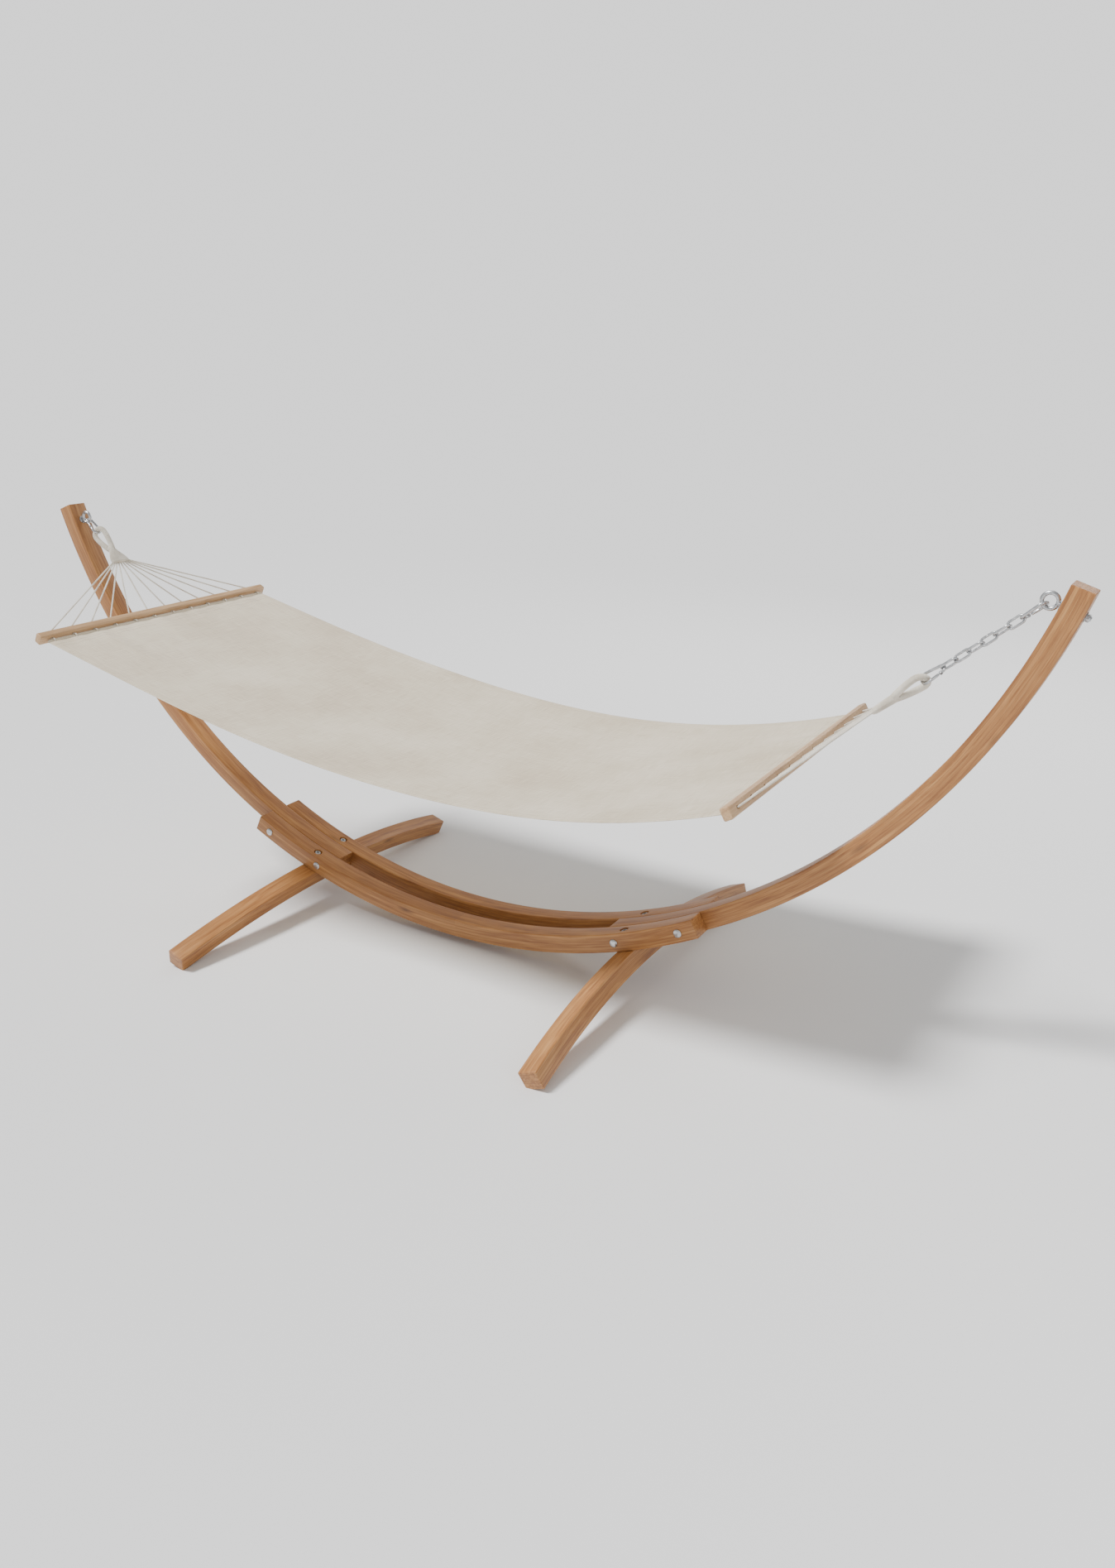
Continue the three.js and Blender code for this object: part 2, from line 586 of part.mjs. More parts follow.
// A fan of cords from the mouth of the loop to the outer face of the bar.
function cordFan(end, mouth) {
  const spread = BAR_LENGTH - 2 * CORD_MARGIN;
  const gather = (LOOP_MOUTH_WIDTH - CORD_DIAMETER - MOUTH_ROUNDING) / 2;
  const plate = new THREE.BoxGeometry(GATHER_THICKNESS, 2 * gather + CORD_DIAMETER, CORD_DIAMETER)
    .translate(mouth + GAP + GATHER_THICKNESS / 2, 0, 0);
  const cords = Array.from({ length: CORD_COUNT }, (_, index) => {
    const share = index / (CORD_COUNT - 1) - 0.5;
    const from = new THREE.Vector3(mouth + GAP + GATHER_THICKNESS / 2, 2 * gather * share, 0);
    const to = new THREE.Vector3(end.reach, spread * share, 0);
    return rodBetween(from, to, CORD_DIAMETER / 2, 8);
  });
  const barSpace = new THREE.BoxGeometry(BAR_THICKNESS + 2 * GAP, BAR_LENGTH + OVERRUN, BAR_HEIGHT + OVERRUN)
    .rotateY(barTurn(end)).translate(end.reach, 0, 0);
  return cut(joined(plate, ...cords), barSpace);
}

// Where a hook comes to bear on the ring: it is drawn along the pull line until it just clears the wire,
// both at rest and at the ends of the swing.
function ringContact(line, end, wideFirst) {
  const ring = solidOf(ringEyeBolt().applyMatrix4(station(end.side * EYE_STATION).matrixWorld));
  const bearing = new THREE.Vector3(ringRadius, 0, 0).applyMatrix4(line.matrixWorld);
  const swings = [-SWING_LIMIT, 0, SWING_LIMIT].map((angle) => new THREE.Matrix4()
    .makeTranslation(bearing)
    .multiply(new THREE.Matrix4().makeRotationX(radians(angle)))
    .multiply(new THREE.Matrix4().makeTranslation(bearing.clone().negate())));
  const step = 0.2;
  for (let start = ringRadius - RING_WIRE / 2 - HOOK_WIRE - GAP; ; start -= step) {
    const hook = hookBody().applyMatrix4(hookPlace(start - GAP / 2, end.hookTwist, wideFirst))
      .applyMatrix4(line.matrixWorld);
    const clears = (swing) => ring.intersect(solidOf(hook.clone().applyMatrix4(swing))).volume() < 1e-6;
    if (swings.every(clears)) return start - GAP;
  }
}

function addHammockEnd(name, end) {
  const line = pullLine(end);
  const hasChain = name === 'right';
  const contact = ringContact(line, end, hasChain);
  addHook(line, hasChain ? 'right_upper' : name, contact, end.hookTwist, hasChain);
  let pulled = contact + HOOK_LENGTH - HOOK_WIRE - GAP;
  if (hasChain) {
    const lower = addChain(line, pulled - LINK_WIRE, end) - HOOK_WIRE;
    addHook(line, 'right_lower', lower, end.loopTwist - (LINK_COUNT % 2 === 0 ? 90 : 0), false);
    pulled = lower + HOOK_LENGTH - HOOK_WIRE - GAP;
  }
  const tip = pulled - LOOP_BUNDLE;
  const loop = addMesh(line, `end_loop_${name}`, endLoop(end.loopTwist), cord);
  loop.position.x = tip;
  loop.rotation.x = radians(end.loopTwist);
  addMesh(line, `cord_fan_${name}`, cordFan(end, tip + LOOP_LENGTH), cord);
  const bar = new THREE.BoxGeometry(BAR_THICKNESS, BAR_LENGTH, BAR_HEIGHT).rotateY(barTurn(end));
  addMesh(line, `spreader_bar_${name}`, bar, barWood).position.x = end.reach;
  return new THREE.Vector3(end.reach, 0, 0).applyMatrix4(line.matrixWorld);
}

// The cloth bed hangs between the inner faces of the bars; its ends are cut parallel to those faces.
function bedOutline(leftBar, rightBar) {
  const tilt = radians(BAR_TILT);
  const inward = BAR_THICKNESS / 2 + GAP;
  const away = inward * Math.cos(tilt);
  const below = inward * Math.sin(tilt);
  const start = new THREE.Vector2(leftBar.x + away, leftBar.z - below);
  const finish = new THREE.Vector2(rightBar.x - away, rightBar.z - below);
  const handle = (finish.x - start.x) / 3;
  const curve = new THREE.CubicBezierCurve(
    start,
    new THREE.Vector2(start.x + handle, start.y - handle * Math.tan(radians(ENDS.left.bedSlope))),
    new THREE.Vector2(finish.x - handle, finish.y - handle * Math.tan(radians(ENDS.right.bedSlope))),
    finish,
  );
  const top = [];
  const bottom = [];
  for (let step = 0; step <= BED_STEPS; step += 1) {
    const point = curve.getPoint(step / BED_STEPS);
    const along = curve.getTangent(step / BED_STEPS);
    const up = new THREE.Vector2(-along.y, along.x);
    if (step === 0) up.set(Math.sin(tilt), Math.cos(tilt));
    if (step === BED_STEPS) up.set(-Math.sin(tilt), Math.cos(tilt));
    top.push(point.clone().addScaledVector(up, BED_THICKNESS / 2));
    bottom.push(point.clone().addScaledVector(up, -BED_THICKNESS / 2));
  }
  return [...bottom, ...top.reverse()];
}

function addBed(leftBar, rightBar) {
  const shape = new THREE.Shape(bedOutline(leftBar, rightBar));
  const bed = new THREE.ExtrudeGeometry(shape, { depth: BED_WIDTH, bevelEnabled: false })
    .translate(0, 0, -BED_WIDTH / 2).rotateX(Math.PI / 2);
  addMesh(hammockStand, 'hammock_bed', bed, canvas);
}

addCentreBeams();
addArms();
addLegs();
addSideBolts();
addLegBolts();
addEyeBolts();
addBed(addHammockEnd('left', ENDS.left), addHammockEnd('right', ENDS.right));

export default hammockStand;
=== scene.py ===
import math
import random
import bpy
import bmesh
from mathutils import Matrix, Vector


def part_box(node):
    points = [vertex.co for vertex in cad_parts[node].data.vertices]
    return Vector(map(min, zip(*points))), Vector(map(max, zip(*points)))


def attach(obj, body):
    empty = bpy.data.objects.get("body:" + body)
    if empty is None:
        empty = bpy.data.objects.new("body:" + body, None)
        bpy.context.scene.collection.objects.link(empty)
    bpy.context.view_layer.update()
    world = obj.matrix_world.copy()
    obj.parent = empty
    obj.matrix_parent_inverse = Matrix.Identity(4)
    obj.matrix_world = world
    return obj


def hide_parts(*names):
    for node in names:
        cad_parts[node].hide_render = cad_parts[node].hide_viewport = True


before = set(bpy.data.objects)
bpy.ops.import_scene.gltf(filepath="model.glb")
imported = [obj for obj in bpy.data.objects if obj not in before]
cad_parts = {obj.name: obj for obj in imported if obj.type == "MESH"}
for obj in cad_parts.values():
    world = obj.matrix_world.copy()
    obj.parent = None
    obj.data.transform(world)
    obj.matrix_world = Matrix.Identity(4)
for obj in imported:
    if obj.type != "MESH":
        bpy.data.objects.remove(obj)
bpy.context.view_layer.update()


# ---------------------------------------------------------------- Studio
# A plain pale floor without an edge, a hazy sun from high in front, a weak panel low on the right, a long
# strip behind and an even surround. The camera stands at head height in front, tipped slightly down.
CAMERA_PLACE = (2.0081, -2.7823, 1.6991)
CAMERA_TURN = 31.35
CAMERA_DIP = 19.47
CAMERA_ROLL = -0.55
CAMERA_LENS = 27.9
FLOOR_SIDE = 400.0
FLOOR_TONE = 0.80
SKY_STRENGTH = 0.50
SUN_STRENGTH = 4.6
SUN_HEIGHT = 56
SUN_SIDE = -52
SUN_SPREAD = 14


def turn_about(axis, degrees):
    return Matrix.Rotation(math.radians(degrees), 4, axis)


def studio_camera():
    camera = bpy.data.objects.new("camera", bpy.data.cameras.new("camera"))
    camera.data.lens = CAMERA_LENS
    camera.data.clip_end = 200
    aim = turn_about("Z", CAMERA_TURN) @ turn_about("X", 90 - CAMERA_DIP) @ turn_about("Z", CAMERA_ROLL)
    camera.matrix_world = Matrix.Translation(CAMERA_PLACE) @ aim
    bpy.context.scene.collection.objects.link(camera)
    bpy.context.scene.camera = camera


def soft_light(name, place, target, size, power, colour):
    lamp = bpy.data.lights.new(name, "AREA")
    lamp.shape = "RECTANGLE"
    lamp.size, lamp.size_y = size
    lamp.energy = power
    lamp.color = colour
    light = bpy.data.objects.new(name, lamp)
    light.location = place
    light.rotation_euler = (Vector(target) - Vector(place)).to_track_quat("-Z", "Y").to_euler()
    bpy.context.scene.collection.objects.link(light)


def node_material(name):
    """An empty material with its output and principled shader: (material, nodes, links, shader)."""
    material = bpy.data.materials.new(name)
    material.use_nodes = True
    nodes, links = material.node_tree.nodes, material.node_tree.links
    return material, nodes, links, nodes["Principled BSDF"]


def new_object(name, mesh):
    """A mesh as an object of the scene."""
    made = bpy.data.objects.new(name, mesh)
    bpy.context.scene.collection.objects.link(made)
    return made


def studio_floor():
    mesh = bpy.data.meshes.new("floor")
    half = FLOOR_SIDE / 2
    corners = [(-half, -half, 0), (half, -half, 0), (half, half, 0), (-half, half, 0)]
    mesh.from_pydata(corners, [], [(0, 1, 2, 3)])
    material, _, _, shader = node_material("pale_floor")
    shader.inputs["Base Color"].default_value = (FLOOR_TONE, FLOOR_TONE, FLOOR_TONE, 1)
    shader.inputs["Roughness"].default_value = 1
    shader.inputs["Specular IOR Level"].default_value = 0
    mesh.materials.append(material)
    new_object("floor", mesh)


def sun():
    lamp = bpy.data.lights.new("sun", "SUN")
    lamp.energy = SUN_STRENGTH
    lamp.angle = math.radians(SUN_SPREAD)
    light = bpy.data.objects.new("sun", lamp)
    light.matrix_world = turn_about("Z", SUN_SIDE) @ turn_about("X", 90 - SUN_HEIGHT)
    bpy.context.scene.collection.objects.link(light)


def surround():
    """Soft light from all round; behind the object it is as bright as the open floor, so no horizon shows."""
    world = bpy.data.worlds.new("surround")
    world.use_nodes = True
    nodes, links = world.node_tree.nodes, world.node_tree.links
    light = nodes["Background"]
    light.inputs["Strength"].default_value = SKY_STRENGTH
    backdrop = nodes.new("ShaderNodeBackground")
    floor_light = SKY_STRENGTH + SUN_STRENGTH * math.sin(math.radians(SUN_HEIGHT)) / math.pi
    backdrop.inputs["Strength"].default_value = FLOOR_TONE * floor_light
    for background in (light, backdrop):
        background.inputs["Color"].default_value = (1, 1, 1, 1)
    mix = nodes.new("ShaderNodeMixShader")
    links.new(nodes.new("ShaderNodeLightPath").outputs["Is Camera Ray"], mix.inputs[0])
    links.new(light.outputs[0], mix.inputs[1])
    links.new(backdrop.outputs[0], mix.inputs[2])
    links.new(mix.outputs[0], nodes["World Output"].inputs["Surface"])
    bpy.context.scene.world = world


studio_camera()
studio_floor()
surround()
sun()
soft_light("side_panel", (4.6, -2.4, 2.2), (0.2, 0, 0.6), (2.0, 2.0), 45, (0.95, 0.97, 1))
soft_light("back_strip", (0.6, 4.4, 3.0), (0, 0, 0.7), (4.5, 0.8), 60, (1, 1, 1))


# ---------------------------------------------------------------- Centre beams
# Two parallel beams of larch, laminated from thin flat-sawn boards and bent to the stand's arc. Each is
# planed, eased along its edges, drilled across for the coach bolts and bored from above for the leg bolts.
BEND_RADIUS = 1.700
BEAM_DEPTH = 0.055
ARM_THICKNESS = 0.064
CENTRE_THICKNESS = 0.060
CENTRE_END = 27.3
CLEARANCE = 0.0003
SIDE_BOLT_STATIONS = (18.5, 25.5)
LEG_STATION = 19.4
BOLT_HOLE = 0.0056
BORE_OVERRUN = 0.02
RECESS_RADIUS = 0.013
HEAD_RECESS = 0.009
EDGE_EASE = 0.0032
END_EASE = 0.0022
ARC_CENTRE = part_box("centre_beam_front")[0].z + BEND_RADIUS + BEAM_DEPTH
CENTRE_OFFSET = ARM_THICKNESS / 2 + CLEARANCE + CENTRE_THICKNESS / 2
SANDWICH_HALF = CENTRE_OFFSET + CENTRE_THICKNESS / 2
LAMELLA = 0.0092
SIDES = {"left": -1, "right": 1}


def station(degrees):
    """The frame at one place along the arc: +X runs along the arc and -Z points outwards."""
    return Matrix.Translation((0, 0, ARC_CENTRE)) @ turn_about("Y", -degrees)


def mesh_of(shell, name):
    mesh = bpy.data.meshes.new(name)
    bmesh.ops.recalc_face_normals(shell, faces=shell.faces)
    shell.to_mesh(mesh)
    shell.free()
    return mesh


def smooth_by_angle(mesh, degrees=32):
    mesh.shade_smooth()
    mesh.set_sharp_from_angle(angle=math.radians(degrees))


def round_turns(sides):
    """The angles of a round section's corners."""
    return [2 * math.pi * step / sides for step in range(sides)]


def loft(rings, name, around=False):
    """A closed mesh through rings of points; the ends are capped, or joined to each other if around."""
    shell = bmesh.new()
    rows = [[shell.verts.new(point) for point in ring] for ring in rings]
    pairs = list(zip(rows, rows[1:])) + ([(rows[-1], rows[0])] if around else [])
    for row, after in pairs:
        for i in range(len(row)):
            j = (i + 1) % len(row)
            shell.faces.new((row[i], row[j], after[j], after[i]))
    if not around:
        shell.faces.new(rows[0])
        shell.faces.new(rows[-1])
    return mesh_of(shell, name)


def eased_section(width, depth, ease, inset, corner_steps=4):
    """A rectangle with rounded corners as (across, down) pairs; inset pulls it in at an eased end."""
    centre_x, centre_y = width / 2 - inset - ease, depth / 2 - inset - ease
    points = []
    for corner, (sx, sy) in enumerate(((1, 1), (-1, 1), (-1, -1), (1, -1))):
        for step in range(corner_steps + 1):
            turn = (corner + step / corner_steps) * math.pi / 2
            points.append((sx * centre_x + ease * math.cos(turn), sy * centre_y + ease * math.sin(turn)))
    return points


def eased_ends(ease=None, steps=4):
    """How an eased end is drawn in: pairs of a distance from the end face and the inset there."""
    size = ease or END_EASE
    turns = [step / steps * math.pi / 2 for step in range(steps + 1)]
    return [(size * (1 - math.sin(turn)), size * (1 - math.cos(turn))) for turn in reversed(turns)]


def bent_beam(name, bend, width, depth, start, end, frame_matrix, steps=72):
    """A beam bent round the Y axis; angles are degrees from -Z, and bend is its inner radius."""
    middle = bend + depth / 2
    first, last = math.radians(start), math.radians(end)
    ends = eased_ends()
    near, far = first + END_EASE / middle, last - END_EASE / middle
    places = [(first + slide / middle, inset) for slide, inset in ends]
    places += [(near + (far - near) * step / steps, 0) for step in range(1, steps)]
    places += [(last - slide / middle, inset) for slide, inset in reversed(ends)]
    rings = []
    for angle, inset in places:
        ring = []
        for across, down in eased_section(width, depth, EDGE_EASE, inset):
            radius = middle + down
            ring.append(frame_matrix @ Vector((radius * math.sin(angle), across, -radius * math.cos(angle))))
        rings.append(ring)
    return new_object(name, loft(rings, name))


def turned(profile, sides, name="turned", across_flats=None, matrix=None):
    """A shape turned about Z from (radius, height) points; across_flats limits it to a hexagon.
    A profile that starts and ends on the axis is a solid, and any other one is a closed ring."""
    solid = profile[0][0] == 0
    rings = []
    for radius, height in profile:
        ring = []
        for step in range(sides):
            turn = 2 * math.pi * step / sides
            reach = radius
            if across_flats:
                off_flat = (turn + math.pi / 6) % (math.pi / 3) - math.pi / 6
                reach = min(radius, across_flats / 2 / math.cos(off_flat))
            ring.append((reach * math.cos(turn), reach * math.sin(turn), height))
        rings.append(ring)
    shell = bmesh.new()
    rows = [[shell.verts.new(point) for point in ring] for ring in rings]
    for row, after in list(zip(rows, rows[1:])) + ([] if solid else [(rows[-1], rows[0])]):
        for i in range(sides):
            shell.faces.new((row[i], row[(i + 1) % sides], after[(i + 1) % sides], after[i]))
    bmesh.ops.remove_doubles(shell, verts=shell.verts, dist=1e-6)
    mesh = mesh_of(shell, name)
    mesh.transform(matrix or Matrix.Identity(4))
    return mesh


def joined(name, meshes):
    """One mesh that holds several separate bodies."""
    whole = bmesh.new()
    for mesh in meshes:
        whole.from_mesh(mesh)
    made = bpy.data.meshes.new(name)
    whole.to_mesh(made)
    whole.free()
    return made


def finished(piece):
    """Applies the piece's modifiers, so that it is a plain mesh again."""
    graph = bpy.context.evaluated_depsgraph_get()
    mesh = bpy.data.meshes.new_from_object(piece.evaluated_get(graph))
    piece.modifiers.clear()
    piece.data = mesh
    return piece


def bored(piece, cutters):
    """Takes the cutters' shapes out of the piece."""
    tool = new_object("cutters", joined("cutters", cutters))
    bore = piece.modifiers.new("bore", "BOOLEAN")
    bore.object = tool
    bore.solver = "EXACT"
    finished(piece)
    bpy.data.objects.remove(tool)
    return piece


def planed(piece, point, normal):
    """Planes away what lies beyond a plane and closes the cut."""
    shell = bmesh.new()
    shell.from_mesh(piece.data)
    everything = shell.verts[:] + shell.edges[:] + shell.faces[:]
    cut = bmesh.ops.bisect_plane(shell, geom=everything, plane_co=point, plane_no=normal, clear_outer=True)
    rim = [item for item in cut["geom_cut"] if isinstance(item, bmesh.types.BMEdge)]
    bmesh.ops.edgenet_fill(shell, edges=rim)
    piece.data = mesh_of(shell, piece.name)


def lay_grain(piece, bend, depth, frame_matrix, seed):
    """Stores where each point lies in the board: along the bend, across it and down through it."""
    back = frame_matrix.inverted()
    grain = piece.data.attributes.new("grain", "FLOAT_VECTOR", "POINT")
    for vertex, entry in zip(piece.data.vertices, grain.data):
        place = back @ vertex.co
        along = math.atan2(place.x, -place.z) * (bend + depth / 2)
        entry.vector = (along + seed * GRAIN_STRIDE, place.y, math.hypot(place.x, place.z) - bend)


def tree_node(tree, kind, wires=None, **values):
    """Adds one node; wires give an input socket, by name or number, its value or its source."""
    made = tree.nodes.new(kind)
    for key, value in values.items():
        setattr(made, key, value)
    for socket, value in (wires or {}).items():
        if isinstance(value, bpy.types.NodeSocket):
            tree.links.new(value, made.inputs[socket])
        else:
            made.inputs[socket].default_value = value
    return made


class MaterialTree:
    """A new material, with short ways to add nodes to it."""

    def __init__(self, name):
        self.material, self.nodes, self.links, self.shader = node_material(name)

    def sums(self, operation, *numbers, clamp=False):
        wires = dict(enumerate(numbers))
        return tree_node(self, "ShaderNodeMath", wires, operation=operation, use_clamp=clamp).outputs[0]

    def noise(self, vector, scale, detail, roughness=0.5):
        wires = {"Vector": vector, "Scale": scale, "Detail": detail, "Roughness": roughness}
        return tree_node(self, "ShaderNodeTexNoise", wires).outputs["Fac"]

    def stretched(self, vector, factors):
        wires = {0: vector, 1: factors}
        return tree_node(self, "ShaderNodeVectorMath", wires, operation="MULTIPLY").outputs[0]

    def mixed(self, share, under, over):
        return tree_node(self, "ShaderNodeMix", {0: share, 6: under, 7: over}, data_type="RGBA").outputs[2]

    def ramp(self, source, *stops):
        """Colours by position, from the first stop to the last."""
        made = tree_node(self, "ShaderNodeValToRGB", {0: source})
        elements = made.color_ramp.elements
        for element, (position, colour) in zip(elements, (stops[0], stops[-1])):
            element.position = position
            element.color = (*colour, 1)
        for position, colour in stops[1:-1]:
            elements.new(position).color = (*colour, 1)
        return made.outputs[0]

    def finish(self, colour, rough, height, strength, distance):
        """Wires the colour, the roughness and a bump into the shader, and gives the material."""
        wires = {"Strength": strength, "Distance": distance, "Height": height}
        bump = tree_node(self, "ShaderNodeBump", wires)
        sources = {"Base Color": colour, "Roughness": rough, "Normal": bump.outputs[0]}
        for name, value in sources.items():
            if isinstance(value, bpy.types.NodeSocket):
                self.links.new(value, self.shader.inputs[name])
            else:
                self.shader.inputs[name].default_value = value
        return self.material


GRAIN_STRIDE = 3.7
GLUE_LINE = 0.0006


def wood_shader(name, tones, lamella, depth, gloss):
    """Oiled timber: long streaks and fine pores along the grain, scattered knots, and where it is laminated
    one tone for each lamella with thin glue lines between."""
    tree = MaterialTree(name)
    sums = tree.sums
    place = tree_node(tree, "ShaderNodeAttribute", attribute_name="grain").outputs["Vector"]
    along, across, down = tree_node(tree, "ShaderNodeSeparateXYZ", {0: place}).outputs

    last = max(1, round(depth / lamella) - 1)
    board = sums("FLOOR", sums("DIVIDE", down, lamella))
    board = sums("MINIMUM", sums("MAXIMUM", board, 0.0), float(last))
    piece_number = sums("FLOOR", sums("DIVIDE", along, GRAIN_STRIDE))
    seat = tree_node(tree, "ShaderNodeCombineXYZ", {0: board, 1: piece_number})
    chance = tree_node(tree, "ShaderNodeTexWhiteNoise", {"Vector": seat.outputs[0]}, noise_dimensions="2D")

    warp = sums("MULTIPLY", tree.noise(place, 2.2, 3), 1.6)
    drawn_out = tree_node(tree, "ShaderNodeCombineXYZ", {
        0: sums("ADD", sums("MULTIPLY", along, 1.3), sums("MULTIPLY", board, 5.3)),
        1: sums("MULTIPLY", across, 30.0), 2: sums("MULTIPLY", down, 30.0)})
    lift = tree_node(tree, "ShaderNodeCombineXYZ", {1: warp, 2: warp})
    figure_wires = {0: drawn_out.outputs[0], 1: lift.outputs[0]}
    figure_vector = tree_node(tree, "ShaderNodeVectorMath", figure_wires, operation="ADD").outputs[0]
    streaks = tree.noise(figure_vector, 2.6, 6, 0.62)
    hair = tree.noise(tree.stretched(place, (7, 190, 190)), 1.0, 4, 0.65)
    pores = tree.noise(tree.stretched(place, (14, 900, 900)), 1.0, 3, 0.6)
    figure = sums("ADD", sums("MULTIPLY", streaks, 0.62), sums("MULTIPLY", hair, 0.38))
    colour = tree.ramp(figure, (0.36, tones["dark"]), (0.49, tones["middle"]), (0.63, tones["light"]))
    board_tone = sums("MULTIPLY", chance.outputs["Value"], tones["spread"])
    colour = tree.mixed(board_tone, colour, (*tones["dark"], 1))
    speck = sums("MULTIPLY", sums("SUBTRACT", 0.46, pores, clamp=True), 2.6, clamp=True)
    colour = tree.mixed(sums("MULTIPLY", speck, 0.55), colour, (*tones["pore"], 1))

    knot_wires = {"Vector": tree.stretched(place, (3.4, 13, 13)), "Scale": 1.0}
    cells = tree_node(tree, "ShaderNodeTexVoronoi", knot_wires, distance="EUCLIDEAN", feature="F1")
    knot = sums("SUBTRACT", 0.13, cells.outputs["Distance"], clamp=True)
    knot = sums("MULTIPLY", sums("MULTIPLY", knot, 9.0, clamp=True), tones["knots"])
    colour = tree.mixed(knot, colour, (*tones["knot"], 1))

    seam_at = sums("ROUND", sums("DIVIDE", down, lamella))
    seam_at = sums("MINIMUM", sums("MAXIMUM", seam_at, 1.0), float(last))
    off_seam = sums("ABSOLUTE", sums("SUBTRACT", down, sums("MULTIPLY", seam_at, lamella)))
    glue = sums("SUBTRACT", 1.0, sums("DIVIDE", off_seam, GLUE_LINE), clamp=True)
    colour = tree.mixed(sums("MULTIPLY", glue, tones["glue"]), colour, (*tones["pore"], 1))
    rough = sums("ADD", gloss, sums("MULTIPLY", streaks, 0.22))
    relief = sums("ADD", sums("MULTIPLY", streaks, 0.5), pores)
    relief = sums("SUBTRACT", relief, sums("MULTIPLY", glue, 0.5))
    return tree.finish(colour, rough, relief, 0.35, 0.0006)


LARCH_TONES = {
    "light": (0.56, 0.285, 0.098), "middle": (0.405, 0.178, 0.054), "dark": (0.225, 0.083, 0.024),
    "pore": (0.12, 0.052, 0.022), "knot": (0.10, 0.042, 0.018), "spread": 0.42, "knots": 0.8, "glue": 0.65,
}
larch = wood_shader("oiled_larch", LARCH_TONES, LAMELLA, BEAM_DEPTH, 0.34)


def side_bore(degrees):
    """The cutter for one coach bolt's hole, right across the beams."""
    half = SANDWICH_HALF + BORE_OVERRUN
    across = station(degrees) @ Matrix.Translation((0, 0, -BEND_RADIUS - BEAM_DEPTH / 2))
    profile = [(0, -half), (BOLT_HOLE, -half), (BOLT_HOLE, half), (0, half)]
    return turned(profile, 32, matrix=across @ turn_about("X", 90))


def leg_bore(degrees, offset):
    """The cutter for one leg bolt: its hole, and the chamfered recess for its head."""
    top = -BEND_RADIUS
    low = top - BEAM_DEPTH - BORE_OVERRUN
    profile = [(0, low), (BOLT_HOLE, low),
               (BOLT_HOLE, top - HEAD_RECESS), (RECESS_RADIUS, top - HEAD_RECESS),
               (RECESS_RADIUS, top - 0.001), (RECESS_RADIUS + 0.003, top + 0.002), (0, top + 0.002)]
    return turned(profile, 48, matrix=station(degrees) @ Matrix.Translation((0, offset, 0)))


def declared(piece, body, slot, *nodes):
    """Attaches a piece to the body it rides on and hides the CAD nodes it stands for; the slot is not used.
    """
    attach(piece, body)
    if nodes:
        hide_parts(*nodes)
    return piece


def timber_piece(piece, bend, depth, frame_matrix, seed, node):
    lay_grain(piece, bend, depth, frame_matrix, seed)
    smooth_by_angle(piece.data)
    piece.data.materials.clear()
    piece.data.materials.append(larch)
    declared(piece, "stand", "larch_timber", node)


for seed, (place, side) in enumerate((("front", -1), ("back", 1)), start=1):
    offset = side * CENTRE_OFFSET
    axis = Matrix.Translation((0, offset, ARC_CENTRE))
    beam = bent_beam(f"centre_{place}", BEND_RADIUS, CENTRE_THICKNESS, BEAM_DEPTH,
                     -CENTRE_END, CENTRE_END, axis)
    holes = [side_bore(end * degrees) for end in (-1, 1) for degrees in SIDE_BOLT_STATIONS]
    holes += [leg_bore(end * LEG_STATION, offset) for end in (-1, 1)]
    timber_piece(bored(beam, holes), BEND_RADIUS, BEAM_DEPTH, axis, seed, f"centre_beam_{place}")


# ---------------------------------------------------------------- Arms
# Two longer beams of the same laminated larch, a little thicker. Their inner ends are clasped between the
# centre beams, and a hole through each near its tip takes a ring eye bolt.
ARM_ROOT = 17.1
ARM_TIP = 71.1
EYE_STATION = 69.2


def eye_bore(degrees):
    ends = (-BEND_RADIUS - BEAM_DEPTH - BORE_OVERRUN, -BEND_RADIUS + BORE_OVERRUN)
    profile = [(0, ends[0]), (BOLT_HOLE, ends[0]), (BOLT_HOLE, ends[1]), (0, ends[1])]
    return turned(profile, 32, matrix=station(degrees))


for seed, (name, side) in enumerate(SIDES.items(), start=3):
    axis = Matrix.Translation((0, 0, ARC_CENTRE))
    start, end = sorted((side * ARM_ROOT, side * ARM_TIP))
    arm = bent_beam(f"arm_beam_{name}", BEND_RADIUS, ARM_THICKNESS, BEAM_DEPTH, start, end, axis)
    holes = [side_bore(side * degrees) for degrees in SIDE_BOLT_STATIONS] + [eye_bore(side * EYE_STATION)]
    timber_piece(bored(arm, holes), BEND_RADIUS, BEAM_DEPTH, axis, seed, f"arm_{name}")


# ---------------------------------------------------------------- Cross legs
# Two arched legs, laminated like the beams. Each is planed flat on its crown, where the beams sit, and at its
# lowest corners, where it stands, and is bored from below for the flange nuts.
LEG_BEND = 2.630
LEG_HALF_ANGLE = 14.2
LEG_WIDTH = 0.056
LEG_DEPTH = 0.054
NUT_RECESS = 0.013
BEAM_OUTER = BEND_RADIUS + BEAM_DEPTH
SEAT_HALF = SANDWICH_HALF + 0.008
LEG_CENTRE = BEAM_OUTER + CLEARANCE + math.sqrt(LEG_BEND ** 2 - SEAT_HALF ** 2)
LEG_FRAME = Matrix(((0, 1, 0, 0), (1, 0, 0, 0), (0, 0, -1, -LEG_CENTRE), (0, 0, 0, 1)))


